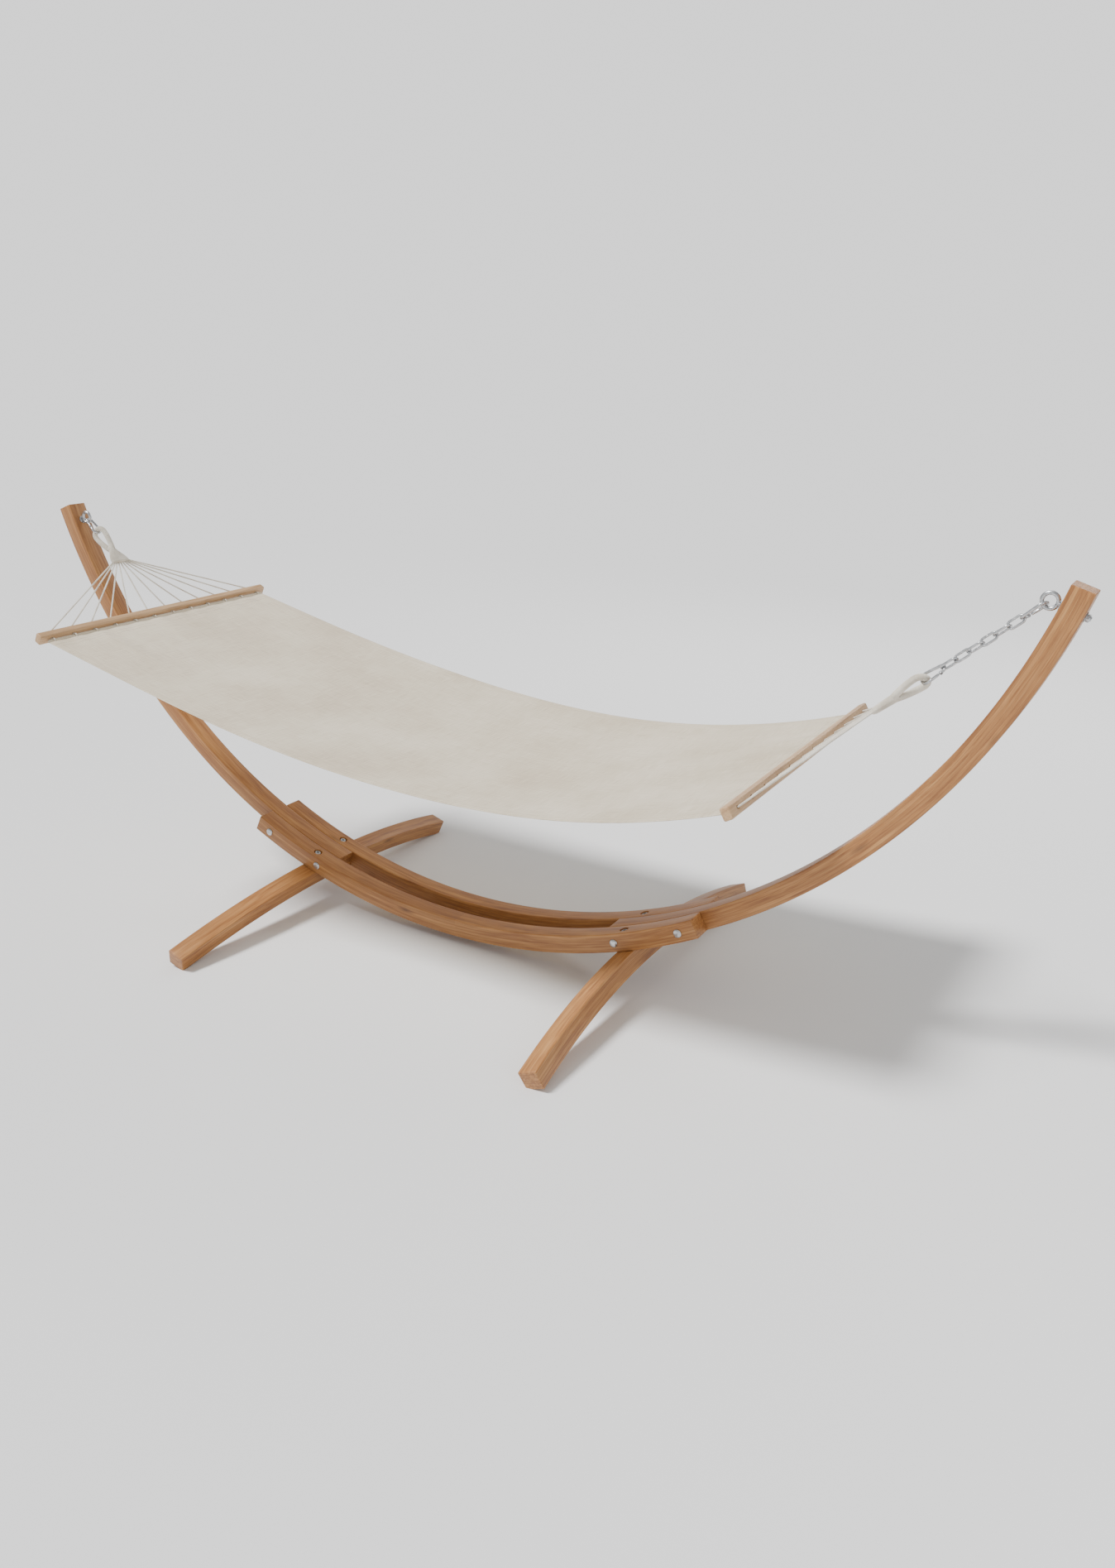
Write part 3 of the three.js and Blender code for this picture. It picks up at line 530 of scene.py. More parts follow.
def nut_bore(degrees, offset):
    under = -BEAM_OUTER - LEG_DEPTH
    low, top = under - BORE_OVERRUN, -BEAM_OUTER + BORE_OVERRUN
    profile = [(0, low), (RECESS_RADIUS, low), (RECESS_RADIUS, under + NUT_RECESS),
               (BOLT_HOLE, under + NUT_RECESS), (BOLT_HOLE, top), (0, top)]
    return turned(profile, 48, matrix=station(degrees) @ Matrix.Translation((0, offset, 0)))


for seed, (name, side) in enumerate(SIDES.items(), start=5):
    placed = station(side * LEG_STATION)
    leg = bent_beam(f"cross_leg_{name}", LEG_BEND - LEG_DEPTH, LEG_WIDTH, LEG_DEPTH,
                    -LEG_HALF_ANGLE, LEG_HALF_ANGLE, placed @ LEG_FRAME)
    planed(leg, placed @ Vector((0, 0, -BEAM_OUTER - CLEARANCE)), placed.to_3x3() @ Vector((0, 0, 1)))
    planed(leg, Vector((0, 0, 0)), Vector((0, 0, -1)))
    holes = [nut_bore(side * LEG_STATION, across * CENTRE_OFFSET) for across in (-1, 1)]
    timber_piece(bored(leg, holes), LEG_BEND - LEG_DEPTH, LEG_DEPTH, placed @ LEG_FRAME, seed, f"leg_{name}")


# ---------------------------------------------------------------- Coach bolts
# Four zinc-plated coach bolts clamp the centre beams and an arm together at each end: a shallow round head in
# front, and a washer under a domed cap nut behind.
BOLT_RADIUS = 0.005
HEAD_RADIUS = 0.012
HEAD_HEIGHT = 0.005
WASHER_RADIUS = 0.012
WASHER_THICKNESS = 0.002
NUT_ACROSS = 0.017
NUT_HEIGHT = 0.008
NUT_FLAT = NUT_ACROSS / 2
NUT_CORNER = NUT_FLAT / math.cos(math.pi / 6)
NUT_BORE = BOLT_RADIUS + CLEARANCE
NUT_CHAMFER = 0.0011
TURNING_SIDES = 48


def zinc_shader():
    """Bright zinc plating: a cool grey metal with faint cloudy spangle and fine scuffs."""
    tree = MaterialTree("zinc_plate")
    place = tree_node(tree, "ShaderNodeTexCoord").outputs["Object"]
    scuff = tree.noise(place, 900, 3)
    tone = tree.ramp(tree.noise(place, 140, 4), (0.32, (0.40, 0.41, 0.42)), (0.70, (0.66, 0.67, 0.68)))
    rough = tree_node(tree, "ShaderNodeMapRange", {"Value": scuff, "To Min": 0.24, "To Max": 0.46})
    tree.shader.inputs["Metallic"].default_value = 1
    return tree.finish(tone, rough.outputs[0], scuff, 0.12, 0.0002)


zinc = zinc_shader()


def node_tree(name, sockets):
    """A Geometry Nodes tree with a geometry in and out and the named inputs: (tree, inputs, outputs)."""
    tree = bpy.data.node_groups.new(name, "GeometryNodeTree")
    tree.interface.new_socket("Geometry", in_out="INPUT", socket_type="NodeSocketGeometry")
    for label, (kind, value) in sockets.items():
        socket = tree.interface.new_socket(label, in_out="INPUT", socket_type=f"NodeSocket{kind}")
        if value is not None:
            socket.default_value = value
    tree.interface.new_socket("Geometry", in_out="OUTPUT", socket_type="NodeSocketGeometry")
    return tree, tree.nodes.new("NodeGroupInput"), tree.nodes.new("NodeGroupOutput")


def sums_in(tree):
    """A short way to add a maths node to one tree."""
    def sums(operation, *numbers):
        return tree_node(tree, "ShaderNodeMath", dict(enumerate(numbers)), operation=operation).outputs[0]
    return sums


def end_tree(tree, outputs, geometry):
    """Ends a tree in real geometry that has its material."""
    real = tree_node(tree, "GeometryNodeRealizeInstances", {0: geometry})
    smooth = tree_node(tree, "GeometryNodeSetShadeSmooth", {0: real.outputs[0]})
    coated = tree_node(tree, "GeometryNodeSetMaterial", {0: smooth.outputs[0]})
    tree.links.new(tree.nodes["Group Input"].outputs["Material"], coated.inputs["Material"])
    tree.links.new(coated.outputs[0], outputs.inputs[0])


def grown(name, source, tree, values):
    """Runs a tree on the source mesh with the given inputs, and keeps the result as a plain mesh object."""
    piece = new_object(name, source)
    modifier = piece.modifiers.new("nodes", "NODES")
    modifier.node_group = tree
    for item in tree.interface.items_tree:
        if item.in_out == "INPUT" and item.name in values:
            modifier[item.identifier] = values[item.name]
    return finished(piece)


def placing_tree():
    """Sets one copy of a template on each point, turned as the point's turn attribute says."""
    tree, inputs, outputs = node_tree("set_fasteners", {
        "Template": ("Object", None), "Size": ("Float", 1.0), "Material": ("Material", None)})
    template = tree_node(tree, "GeometryNodeObjectInfo", {"Object": inputs.outputs["Template"]})
    turn = tree_node(tree, "GeometryNodeInputNamedAttribute", {"Name": "turn"}, data_type="QUATERNION")
    turned_to = next(socket for socket in turn.outputs if socket.enabled and socket.name == "Attribute")
    set_out = tree_node(tree, "GeometryNodeInstanceOnPoints", {
        "Points": inputs.outputs["Geometry"], "Instance": template.outputs["Geometry"],
        "Rotation": turned_to, "Scale": inputs.outputs["Size"]})
    end_tree(tree, outputs, set_out.outputs[0])
    return tree


PLACING = placing_tree()


def set_out(name, template_mesh, places, material, sharp=32):
    """Copies the template to each place, a matrix, as one mesh."""
    points = bpy.data.meshes.new(f"{name}_points")
    points.from_pydata([place.translation for place in places], [], [])
    turns = points.attributes.new("turn", "QUATERNION", "POINT")
    for place, entry in zip(places, turns.data):
        entry.value = place.to_quaternion()
    template = new_object("template", template_mesh)
    piece = grown(name, points, PLACING, {"Template": template, "Size": 1.0, "Material": material})
    bpy.data.objects.remove(template)
    smooth_by_angle(piece.data, sharp)
    return piece


def arc_points(radius, rise, start_height, steps=8):
    """The rim of a dome as (radius, height) pairs from its edge to its top."""
    turns = [step / steps * math.pi / 2 for step in range(steps)]
    rim = [(radius * math.cos(turn), start_height + rise * math.sin(turn)) for turn in turns]
    return rim + [(0, start_height + rise)]


def coach_bolt():
    """Head downwards on -Z; the shank runs up along +Z to its nut."""
    half = SANDWICH_HALF + CLEARANCE
    end = half + CLEARANCE + WASHER_THICKNESS + NUT_HEIGHT - 0.001
    dome = [(radius, -half - 0.0012 - (height + half)) for radius, height in
            arc_points(HEAD_RADIUS, HEAD_HEIGHT - 0.0012, -half)]
    profile = list(reversed(dome)) + [(HEAD_RADIUS, -half - 0.0003), (HEAD_RADIUS - 0.0003, -half),
                                      (BOLT_RADIUS, -half), (BOLT_RADIUS, end), (0, end)]
    return turned(profile, TURNING_SIDES, "coach_bolt")


def cap_nut():
    """Seat at the origin, dome upwards, with a blind threaded bore."""
    dome = arc_points(NUT_FLAT - 0.0006, NUT_FLAT - 0.0006, NUT_HEIGHT, 10)
    profile = [(0, NUT_HEIGHT), (NUT_BORE, NUT_HEIGHT), (NUT_BORE, 0), (NUT_FLAT, 0),
               (NUT_CORNER, NUT_CHAMFER), (NUT_CORNER, NUT_HEIGHT - 0.0014),
               (NUT_FLAT - 0.0002, NUT_HEIGHT - 0.0001)] + dome
    return turned(profile, 72, "cap_nut", across_flats=NUT_ACROSS)


def washer():
    bevel = 0.0003
    half = WASHER_THICKNESS / 2
    profile = [(BOLT_HOLE, -half), (WASHER_RADIUS - bevel, -half), (WASHER_RADIUS, -half + bevel),
               (WASHER_RADIUS, half - bevel), (WASHER_RADIUS - bevel, half), (BOLT_HOLE, half)]
    return turned(profile, TURNING_SIDES, "washer")


def through_nut(height):
    lead = 0.0006
    profile = [(NUT_BORE + lead, 0), (NUT_FLAT, 0), (NUT_CORNER, NUT_CHAMFER),
               (NUT_CORNER, height - NUT_CHAMFER), (NUT_FLAT, height), (NUT_BORE + lead, height),
               (NUT_BORE, height - lead), (NUT_BORE, lead)]
    return turned(profile, 72, "nut", across_flats=NUT_ACROSS)


cross_places = {}
for name, side in SIDES.items():
    for number, degrees in enumerate(SIDE_BOLT_STATIONS, start=1):
        middle = Matrix.Translation((0, 0, -BEND_RADIUS - BEAM_DEPTH / 2))
        cross_places[f"{name}_{number}"] = station(side * degrees) @ middle @ turn_about("X", -90)


def shifted(places, distance):
    return [place @ Matrix.Translation((0, 0, distance)) for place in places]


def hardware(name, template, places, nodes, body="stand", sharp=32):
    """Zinc-plated copies of one template, as one piece."""
    declared(set_out(name, template, places, zinc, sharp), body, "zinc_steel", *nodes)


cross = list(cross_places.values())
washer_seat = SANDWICH_HALF + CLEARANCE + WASHER_THICKNESS / 2
nut_seat = SANDWICH_HALF + 2 * CLEARANCE + WASHER_THICKNESS
hardware("coach_bolts", coach_bolt(), cross, [f"side_bolt_{k}" for k in cross_places])
hardware("side_washers", washer(), shifted(cross, washer_seat), [f"side_washer_{k}" for k in cross_places])
hardware("cap_nuts", cap_nut(), shifted(cross, nut_seat), [f"side_cap_nut_{k}" for k in cross_places])


# ---------------------------------------------------------------- Leg bolts
# Four socket-head bolts drop through the centre beams and the legs, with their heads sunk below the wood and
# a flange nut drawn up into a recess under each leg.
LEG_HEAD_RADIUS = 0.009
LEG_HEAD_HEIGHT = 0.006
SOCKET_ACROSS = 0.008
FLANGE_RADIUS = 0.011
FLANGE_THICKNESS = 0.002


def leg_bolt():
    seat = -BEND_RADIUS - HEAD_RECESS + CLEARANCE
    top = seat + LEG_HEAD_HEIGHT
    end = -BEAM_OUTER - LEG_DEPTH + NUT_RECESS - CLEARANCE - FLANGE_THICKNESS - NUT_HEIGHT - 0.001
    bevel, foot = 0.0008, 0.0003
    profile = [(0, end), (BOLT_RADIUS - bevel, end), (BOLT_RADIUS, end + bevel), (BOLT_RADIUS, seat),
               (LEG_HEAD_RADIUS - foot, seat), (LEG_HEAD_RADIUS, seat + foot),
               (LEG_HEAD_RADIUS, top - bevel), (LEG_HEAD_RADIUS - bevel, top), (0, top)]
    bolt = new_object("bolt", turned(profile, TURNING_SIDES, "leg_bolt"))
    socket = [(0, top - 0.004), (SOCKET_ACROSS, top - 0.004), (SOCKET_ACROSS, top + 0.001), (0, top + 0.001)]
    bored(bolt, [turned(socket, 48, across_flats=SOCKET_ACROSS)])
    mesh = bolt.data
    bpy.data.objects.remove(bolt)
    return mesh


def flange_nut():
    """Flange upwards with its seat at the origin, the hexagon below it."""
    low = -FLANGE_THICKNESS - NUT_HEIGHT
    under = -FLANGE_THICKNESS - 0.00002
    flange = turned([(NUT_BORE, 0), (FLANGE_RADIUS - 0.0004, 0), (FLANGE_RADIUS, -0.0006),
                     (FLANGE_RADIUS - 0.0006, -0.0014), (NUT_CORNER, -FLANGE_THICKNESS),
                     (NUT_BORE, -FLANGE_THICKNESS)], 72)
    body = turned([(NUT_BORE, under), (NUT_CORNER, under), (NUT_CORNER, low + NUT_CHAMFER), (NUT_FLAT, low),
                   (NUT_BORE, low)], 72, across_flats=NUT_ACROSS)
    return joined("flange_nut", [flange, body])


leg_places = {
    f"{name}_{place}": station(side * LEG_STATION) @ Matrix.Translation((0, across * CENTRE_OFFSET, 0))
    for name, side in SIDES.items() for place, across in (("front", -1), ("back", 1))}
flange_seat = -BEAM_OUTER - LEG_DEPTH + NUT_RECESS - CLEARANCE
hardware("leg_bolts", leg_bolt(), list(leg_places.values()), [f"leg_bolt_{k}" for k in leg_places])
hardware("flange_nuts", flange_nut(), shifted(leg_places.values(), flange_seat),
         [f"leg_nut_{k}" for k in leg_places])


# ---------------------------------------------------------------- Ring eye bolts
# One forged eye bolt through each arm: a round ring welded to a shank, a washer on each face of the arm and a
# nut behind. The hammock's hooks bear on the rings.
RING_RADIUS = 0.0175
RING_WIRE = 0.010
RING_STANDOFF = 0.025


def swept(points, radius, name="wire", closed=False, sides=16, normal=Vector((0, 0, 1))):
    """A round wire along points in a plane with that normal; an open wire's ends are rounded over."""
    count = len(points)
    rings = []

    def ring(point, along, size):
        out = along.cross(normal).normalized()
        return [point + size * (math.cos(turn) * out + math.sin(turn) * normal)
                for turn in round_turns(sides)]

    def direction(index):
        if closed:
            return (points[(index + 1) % count] - points[index - 1]).normalized()
        return (points[min(index + 1, count - 1)] - points[max(index - 1, 0)]).normalized()

    if closed:
        rings = [ring(point, direction(index), radius) for index, point in enumerate(points)]
        return loft(rings, name, around=True)
    first, last = direction(0), direction(count - 1)
    for step in range(1, 5):
        turn = step / 5 * math.pi / 2
        rings.append(ring(points[0] - first * radius * 0.35 * math.cos(turn), first, radius * math.sin(turn)))
    rings += [ring(point, direction(index), radius) for index, point in enumerate(points)]
    for step in range(4, 0, -1):
        turn = step / 5 * math.pi / 2
        rings.append(ring(points[-1] + last * radius * 0.35 * math.cos(turn), last, radius * math.sin(turn)))
    return loft(rings, name)


def circle_points(centre, radius, start, end, steps):
    """Points in the XY plane from one angle to another, in degrees."""
    return [Vector((centre + radius * math.cos(math.radians(start + (end - start) * step / steps)),
                    radius * math.sin(math.radians(start + (end - start) * step / steps)), 0))
            for step in range(steps + 1)]


def eye_bolt():
    """In the frame of its station: the ring lies in the XZ plane."""
    ring = swept(circle_points(0, RING_RADIUS, 0, 360, 56)[:-1], RING_WIRE / 2, closed=True, sides=20)
    ring.transform(Matrix.Translation((0, 0, -BEND_RADIUS + RING_STANDOFF)) @ turn_about("X", 90))
    neck = -BEND_RADIUS + RING_STANDOFF - RING_RADIUS
    end = -BEAM_OUTER - 2 * CLEARANCE - WASHER_THICKNESS - NUT_HEIGHT - 0.003
    shank = turned([(0, end), (BOLT_RADIUS - 0.001, end), (BOLT_RADIUS, end + 0.001),
                    (BOLT_RADIUS, neck - 0.006), (BOLT_RADIUS + 0.0006, neck - 0.003),
                    (BOLT_RADIUS + 0.0016, neck - 0.0005), (0, neck)], TURNING_SIDES)
    return joined("eye_bolt", [ring, shank])


eyes = [station(side * EYE_STATION) for side in SIDES.values()]
inner_seat = -BEND_RADIUS + CLEARANCE + WASHER_THICKNESS / 2
outer_seat = -BEAM_OUTER - CLEARANCE - WASHER_THICKNESS / 2
back_nut_seat = -BEAM_OUTER - 2 * CLEARANCE - WASHER_THICKNESS - NUT_HEIGHT
hardware("eye_bolts", eye_bolt(), eyes, [f"eye_bolt_{name}" for name in SIDES], sharp=40)
hardware("eye_washers", washer(), shifted(eyes, inner_seat) + shifted(eyes, outer_seat),
         [f"eye_washer_{face}_{name}" for face in ("inner", "outer") for name in SIDES])
hardware("eye_nuts", through_nut(NUT_HEIGHT), shifted(eyes, back_nut_seat),
         [f"eye_nut_{name}" for name in SIDES])


# ---------------------------------------------------------------- Snap hooks
# Three pear-shaped snap hooks bent from round steel wire. The gate, a short rod, turns on a riveted pin in a
# slotted cheek at the narrow end and rests on the nose beside the wide end.
HOOK_LENGTH = 0.070
HOOK_WIRE = 0.007
HOOK_WIDE = 0.0142
HOOK_NARROW = 0.0093
HOOK_NOSE = 0.0275
PIN_SETBACK = 0.0032
WIDE_CENTRE = HOOK_WIRE / 2 + HOOK_WIDE
NARROW_CENTRE = HOOK_LENGTH - HOOK_WIRE / 2 - HOOK_NARROW
HOOK_TAPER = math.asin((HOOK_WIDE - HOOK_NARROW) / (NARROW_CENTRE - WIDE_CENTRE))
PIN_PLACE = NARROW_CENTRE - PIN_SETBACK
GATE_TAB = 0.0026
PIN_RADIUS = 0.0012


def pull_frame(name):
    """The frame of one end of the hammock: origin at the ring's centre, +X towards the middle of the bar."""
    side = SIDES[name]
    centre = station(side * EYE_STATION) @ Vector((0, 0, -BEND_RADIUS + RING_STANDOFF))
    low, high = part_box(f"spreader_bar_{name}")
    along = ((low + high) / 2 - centre).normalized()
    across = Vector((0, 1, 0))
    return Matrix.Translation(centre) @ Matrix((along, across, along.cross(across))).transposed().to_4x4()


def reach_along(line, node):
    """Where a CAD node starts and ends along a pull line."""
    back = line.inverted()
    distances = [(back @ vertex.co).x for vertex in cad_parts[node].data.vertices]
    return min(distances), max(distances)


def hook_side(x):
    return (HOOK_WIDE - (x - WIDE_CENTRE) * math.sin(HOOK_TAPER)) / math.cos(HOOK_TAPER)


def in_gate_frame(mesh):
    pivot = Matrix.Translation((PIN_PLACE, hook_side(PIN_PLACE), 0))
    mesh.transform(pivot @ Matrix.Rotation(-HOOK_TAPER, 4, "Z"))
    return mesh


def hook_body():
    taper = math.degrees(HOOK_TAPER)
    points = [Vector((HOOK_NOSE, hook_side(HOOK_NOSE), 0))]
    points += circle_points(WIDE_CENTRE, HOOK_WIDE, 90 - taper, 270 + taper, 28)
    points += [Vector((x, -hook_side(x), 0)) for x in (0.028, 0.040)]
    points += circle_points(NARROW_CENTRE, HOOK_NARROW, -90 - taper, 90 + taper, 22)
    wire = swept(points, HOOK_WIRE / 2, "hook_wire", sides=18)
    cheek = HOOK_WIRE / 2 + 0.0006
    profile = [(0, -HOOK_WIRE / 2), (cheek - 0.0006, -HOOK_WIRE / 2), (cheek, -HOOK_WIRE / 2 + 0.0006),
               (cheek, HOOK_WIRE / 2 - 0.0006), (cheek - 0.0006, HOOK_WIRE / 2), (0, HOOK_WIRE / 2)]
    hook = new_object("hook", wire)
    boss = new_object("boss", in_gate_frame(turned(profile, 36)))
    union = hook.modifiers.new("boss", "BOOLEAN")
    union.operation = "UNION"
    union.object = boss
    finished(hook)
    bpy.data.objects.remove(boss)
    slot = bmesh.new()
    bmesh.ops.create_cube(slot, size=1)
    slot_mesh = mesh_of(slot, "slot")
    slot_mesh.transform(Matrix.Translation((cheek + 0.001 - 2 * cheek, 0, 0))
                        @ Matrix.Diagonal((4 * cheek, 4 * cheek, GATE_TAB + 2 * CLEARANCE, 1)))
    bored(hook, [in_gate_frame(slot_mesh)])
    mesh = hook.data
    bpy.data.objects.remove(hook)
    return mesh


def hook_gate():
    """A rod from the pin to the nose, flattened to a tongue where the pin goes through."""
    reach = (PIN_PLACE - HOOK_NOSE) / math.cos(HOOK_TAPER) - 0.0005
    radius = HOOK_WIRE / 2
    tall, thin = 0.72, GATE_TAB / HOOK_WIRE
    shape = [(-0.0022, 0.35 * tall, thin), (0.0, 0.7 * tall, thin), (0.0018, tall, thin),
             (0.0062, tall, thin), (0.0082, 1.0, 1.0), (reach - 0.0008, 1.0, 1.0),
             (reach - 0.0002, 0.9, 0.9), (reach, 0.72, 0.72)]
    rings = [[Vector((-x, height * radius * math.cos(turn), thickness * radius * math.sin(turn)))
              for turn in round_turns(18)] for x, height, thickness in shape]
    return in_gate_frame(loft(rings, "gate"))


def gate_pin():
    """A rivet through the cheek, its ends peened flush."""
    half = HOOK_WIRE / 2
    profile = [(0, -half - 0.0004), (PIN_RADIUS, -half - 0.0003), (PIN_RADIUS + 0.0006, -half),
               (PIN_RADIUS, -half + 0.0002), (PIN_RADIUS, half - 0.0002), (PIN_RADIUS + 0.0006, half),
               (PIN_RADIUS, half + 0.0003), (0, half + 0.0004)]
    return in_gate_frame(turned(profile, 24, "gate_pin"))


LINES = {name: pull_frame(name) for name in SIDES}
HOOKS = {"left": ("left", 0, False), "right_upper": ("right", 20, True), "right_lower": ("right", -45, False)}


def hook_place(name):
    """A hook's own frame has its wide end at x = 0, so one whose narrow end comes first is turned round."""
    line_name, twist, wide_first = HOOKS[name]
    start, end = reach_along(LINES[line_name], f"snap_hook_{name}")
    turn = LINES[line_name] @ turn_about("X", twist)
    if wide_first:
        return turn @ Matrix.Translation((start, 0, 0))
    return turn @ Matrix.Translation((end, 0, 0)) @ turn_about("Z", 180)


places = [hook_place(name) for name in HOOKS]
hardware("snap_hooks", hook_body(), places, [f"snap_hook_{name}" for name in HOOKS], "hammock", 40)
hardware("gate_pins", gate_pin(), places, [f"gate_pin_{name}" for name in HOOKS], "hammock")
for name in HOOKS:
    hardware(f"gate_rod_{name}", hook_gate(), [hook_place(name)], [f"hook_gate_{name}"], f"gate_{name}", 40)


# ---------------------------------------------------------------- Chain
# Six welded links of 6 mm zinc-plated wire, each about a quarter turn from the last, join the two right
# hooks and set the height of that end.
LINK_WIRE = 0.006
LINK_INNER = 0.035
LINK_WIDTH = 0.024
LINK_COUNT = 6


def chain_link():
    """One link in the XY plane, with the bead of its weld on one side."""
    radius = (LINK_WIDTH - LINK_WIRE) / 2
    half = LINK_INNER / 2 + LINK_WIRE / 2 - radius
    points = circle_points(half, radius, -90, 90, 16) + circle_points(-half, radius, 90, 270, 16)
    link = swept(points, LINK_WIRE / 2, "link", closed=True, sides=14)
    bead = [Vector((x, radius, 0)) for x in (-0.0022, -0.0012, 0, 0.0012, 0.0022)]
    swell = [0.55, 0.92, 1.0, 0.92, 0.55]
    rings = [[point + LINK_WIRE / 2 * (1.16 * size) * Vector((0, math.cos(turn), math.sin(turn)))
              for turn in round_turns(14)] for point, size in zip(bead, swell)]
    return joined("link", [link, loft(rings, "bead")])


def chain_places():
    line = LINES["right"]
    first_twist = HOOKS["right_upper"][1]
    last_twist = HOOKS["right_lower"][1] + 90
    for index in range(LINK_COUNT):
        start, end = reach_along(line, f"chain_link_{index + 1}")
        twist = first_twist + (last_twist - first_twist) * (index + 1) / (LINK_COUNT + 1)
        turn = turn_about("X", twist - (90 if index % 2 == 0 else 0))
        yield line @ Matrix.Translation(((start + end) / 2, 0, 0)) @ turn


hardware("chain_links", chain_link(), list(chain_places()),
         [f"chain_link_{index + 1}" for index in range(LINK_COUNT)], "hammock", 50)


# ---------------------------------------------------------------- End loops
# The cords of each end are doubled back in a bundle to make an eye, and the bundle is whipped tightly with
# thin cotton cord: round the eye, and on from the neck to the flat mouth where the twelve cords come out.
LOOP_LENGTH = 0.155
EYE_LENGTH = 0.098
EYE_WIDTH = 0.056
BUNDLE = 0.017
NECK_RADIUS = 0.012
MOUTH_WIDTH = 0.070
MOUTH_THICKNESS = 0.019
MOUTH_ROUNDING = 0.004
WHIPPING = 0.0022


def cotton_shader(name, light, dark, lay_scale):
    """Undyed cotton cord: off-white with faint dust in its hollows and a fibrous surface."""
    tree = MaterialTree(name)
    place = tree_node(tree, "ShaderNodeTexCoord").outputs["Object"]
    fibre = tree.noise(place, lay_scale, 4)
    soil = tree.noise(place, 22, 3)
    both = tree.sums("MULTIPLY_ADD", soil, 0.6, tree.sums("MULTIPLY", fibre, 0.4))
    tree.shader.inputs["Sheen Weight"].default_value = 0.25
    return tree.finish(tree.ramp(both, (0.36, dark), (0.60, light)), 0.88, fibre, 0.5, 0.0004)


cotton = cotton_shader("cotton_cord", (0.80, 0.755, 0.66), (0.58, 0.52, 0.42), 1600)


def whipping_tree():
    """Winds a thin cord round a bundle. The source is a line in a plane, whose points carry half the bundle's
    width in that plane and half its thickness across it."""
    tree, inputs, outputs = node_tree("whip_bundle", {
        "Pitch": ("Float", 0.002), "Cord radius": ("Float", 0.001), "Steps per turn": ("Float", 18.0),
        "Plane normal": ("Vector", (0, 0, 1)), "Material": ("Material", None)})
    value = inputs.outputs
    sums = sums_in(tree)
    def vectors(operation, first, second=None, scale=None):
        wires = {0: first}
        if second is not None:
            wires[1] = second
        if scale is not None:
            wires["Scale"] = scale
        return tree_node(tree, "ShaderNodeVectorMath", wires, operation=operation).outputs[0]

    def marked(name):
        mark = tree_node(tree, "GeometryNodeInputNamedAttribute", {"Name": name}, data_type="FLOAT")
        return next(socket for socket in mark.outputs if socket.enabled and socket.name == "Attribute")

    line = tree_node(tree, "GeometryNodeMeshToCurve", {0: value["Geometry"]})
    step = sums("DIVIDE", value["Pitch"], value["Steps per turn"])
    fine_wires = {"Curve": line.outputs[0], "Length": step}
    fine = tree_node(tree, "GeometryNodeResampleCurve", fine_wires, mode="LENGTH")
    run = tree_node(tree, "GeometryNodeSplineParameter").outputs["Length"]
    turn = sums("MULTIPLY", sums("DIVIDE", run, value["Pitch"]), 2 * math.pi)
    along = tree_node(tree, "GeometryNodeInputTangent").outputs[0]
    out = vectors("NORMALIZE", vectors("CROSS_PRODUCT", along, value["Plane normal"]))
    wide = sums("ADD", marked("width"), value["Cord radius"])
    thick = sums("ADD", marked("thickness"), value["Cord radius"])
    first = vectors("SCALE", out, scale=sums("MULTIPLY", wide, sums("COSINE", turn)))
    second = vectors("SCALE", value["Plane normal"], scale=sums("MULTIPLY", thick, sums("SINE", turn)))
    helix = tree_node(tree, "GeometryNodeSetPosition",
                      {"Geometry": fine.outputs[0], "Offset": vectors("ADD", first, second)})
    section = tree_node(tree, "GeometryNodeCurvePrimitiveCircle",
                        {"Resolution": 7, "Radius": value["Cord radius"]})
    wound = tree_node(tree, "GeometryNodeCurveToMesh", {
        "Curve": helix.outputs[0], "Profile Curve": section.outputs[0], "Fill Caps": True})
    end_tree(tree, outputs, wound.outputs[0])
    return tree


WHIPPING_TREE = whipping_tree()


def marked_line(name, points, halves):
    """A line of points that carry half the bundle's width and half its thickness at each."""
    mesh = bpy.data.meshes.new(name)
    mesh.from_pydata(points, [(i, i + 1) for i in range(len(points) - 1)], [])
    for index, label in enumerate(("width", "thickness")):
        mark = mesh.attributes.new(label, "FLOAT", "POINT")
        mark.data.foreach_set("value", [half[index] for half in halves])
    return mesh


def bundle_core(points, halves, name, sides=28, normal=Vector((0, 0, 1))):
    """The bundle under its whipping, along a line in the XY plane."""
    rings = []
    for index, (point, (wide, thick)) in enumerate(zip(points, halves)):
        along = (points[min(index + 1, len(points) - 1)] - points[max(index - 1, 0)]).normalized()
        out = along.cross(normal).normalized()
        rings.append([point + wide * math.cos(turn) * out + thick * math.sin(turn) * normal
                      for turn in round_turns(sides)])
    return loft(rings, name)


def eased(value):
    return value * value * (3 - 2 * value)


def eye_line():
    """The middle of the bundle round the eye, from the neck round the tip and back, and its half sizes."""
    centre = EYE_WIDTH / 2
    half = (EYE_WIDTH - BUNDLE) / 2
    core = BUNDLE / 2 - WHIPPING
    points, halves = [], []
    steps = 90
    for step in range(steps + 1):
        turn = math.radians(-172 + 344 * step / steps) + math.pi
        share = abs(step / steps * 2 - 1)
        x = centre + (half if math.cos(turn) < 0 else EYE_LENGTH + 0.004 - centre) * math.cos(turn)
        y = half * math.sin(turn)
        if math.cos(turn) > 0:
            y *= 1 - 0.30 * eased(math.cos(turn))
        points.append(Vector((x, y, 0)))
        size = core * (1 + 0.06 * eased(share))
        halves.append((size, size))
    return points, halves


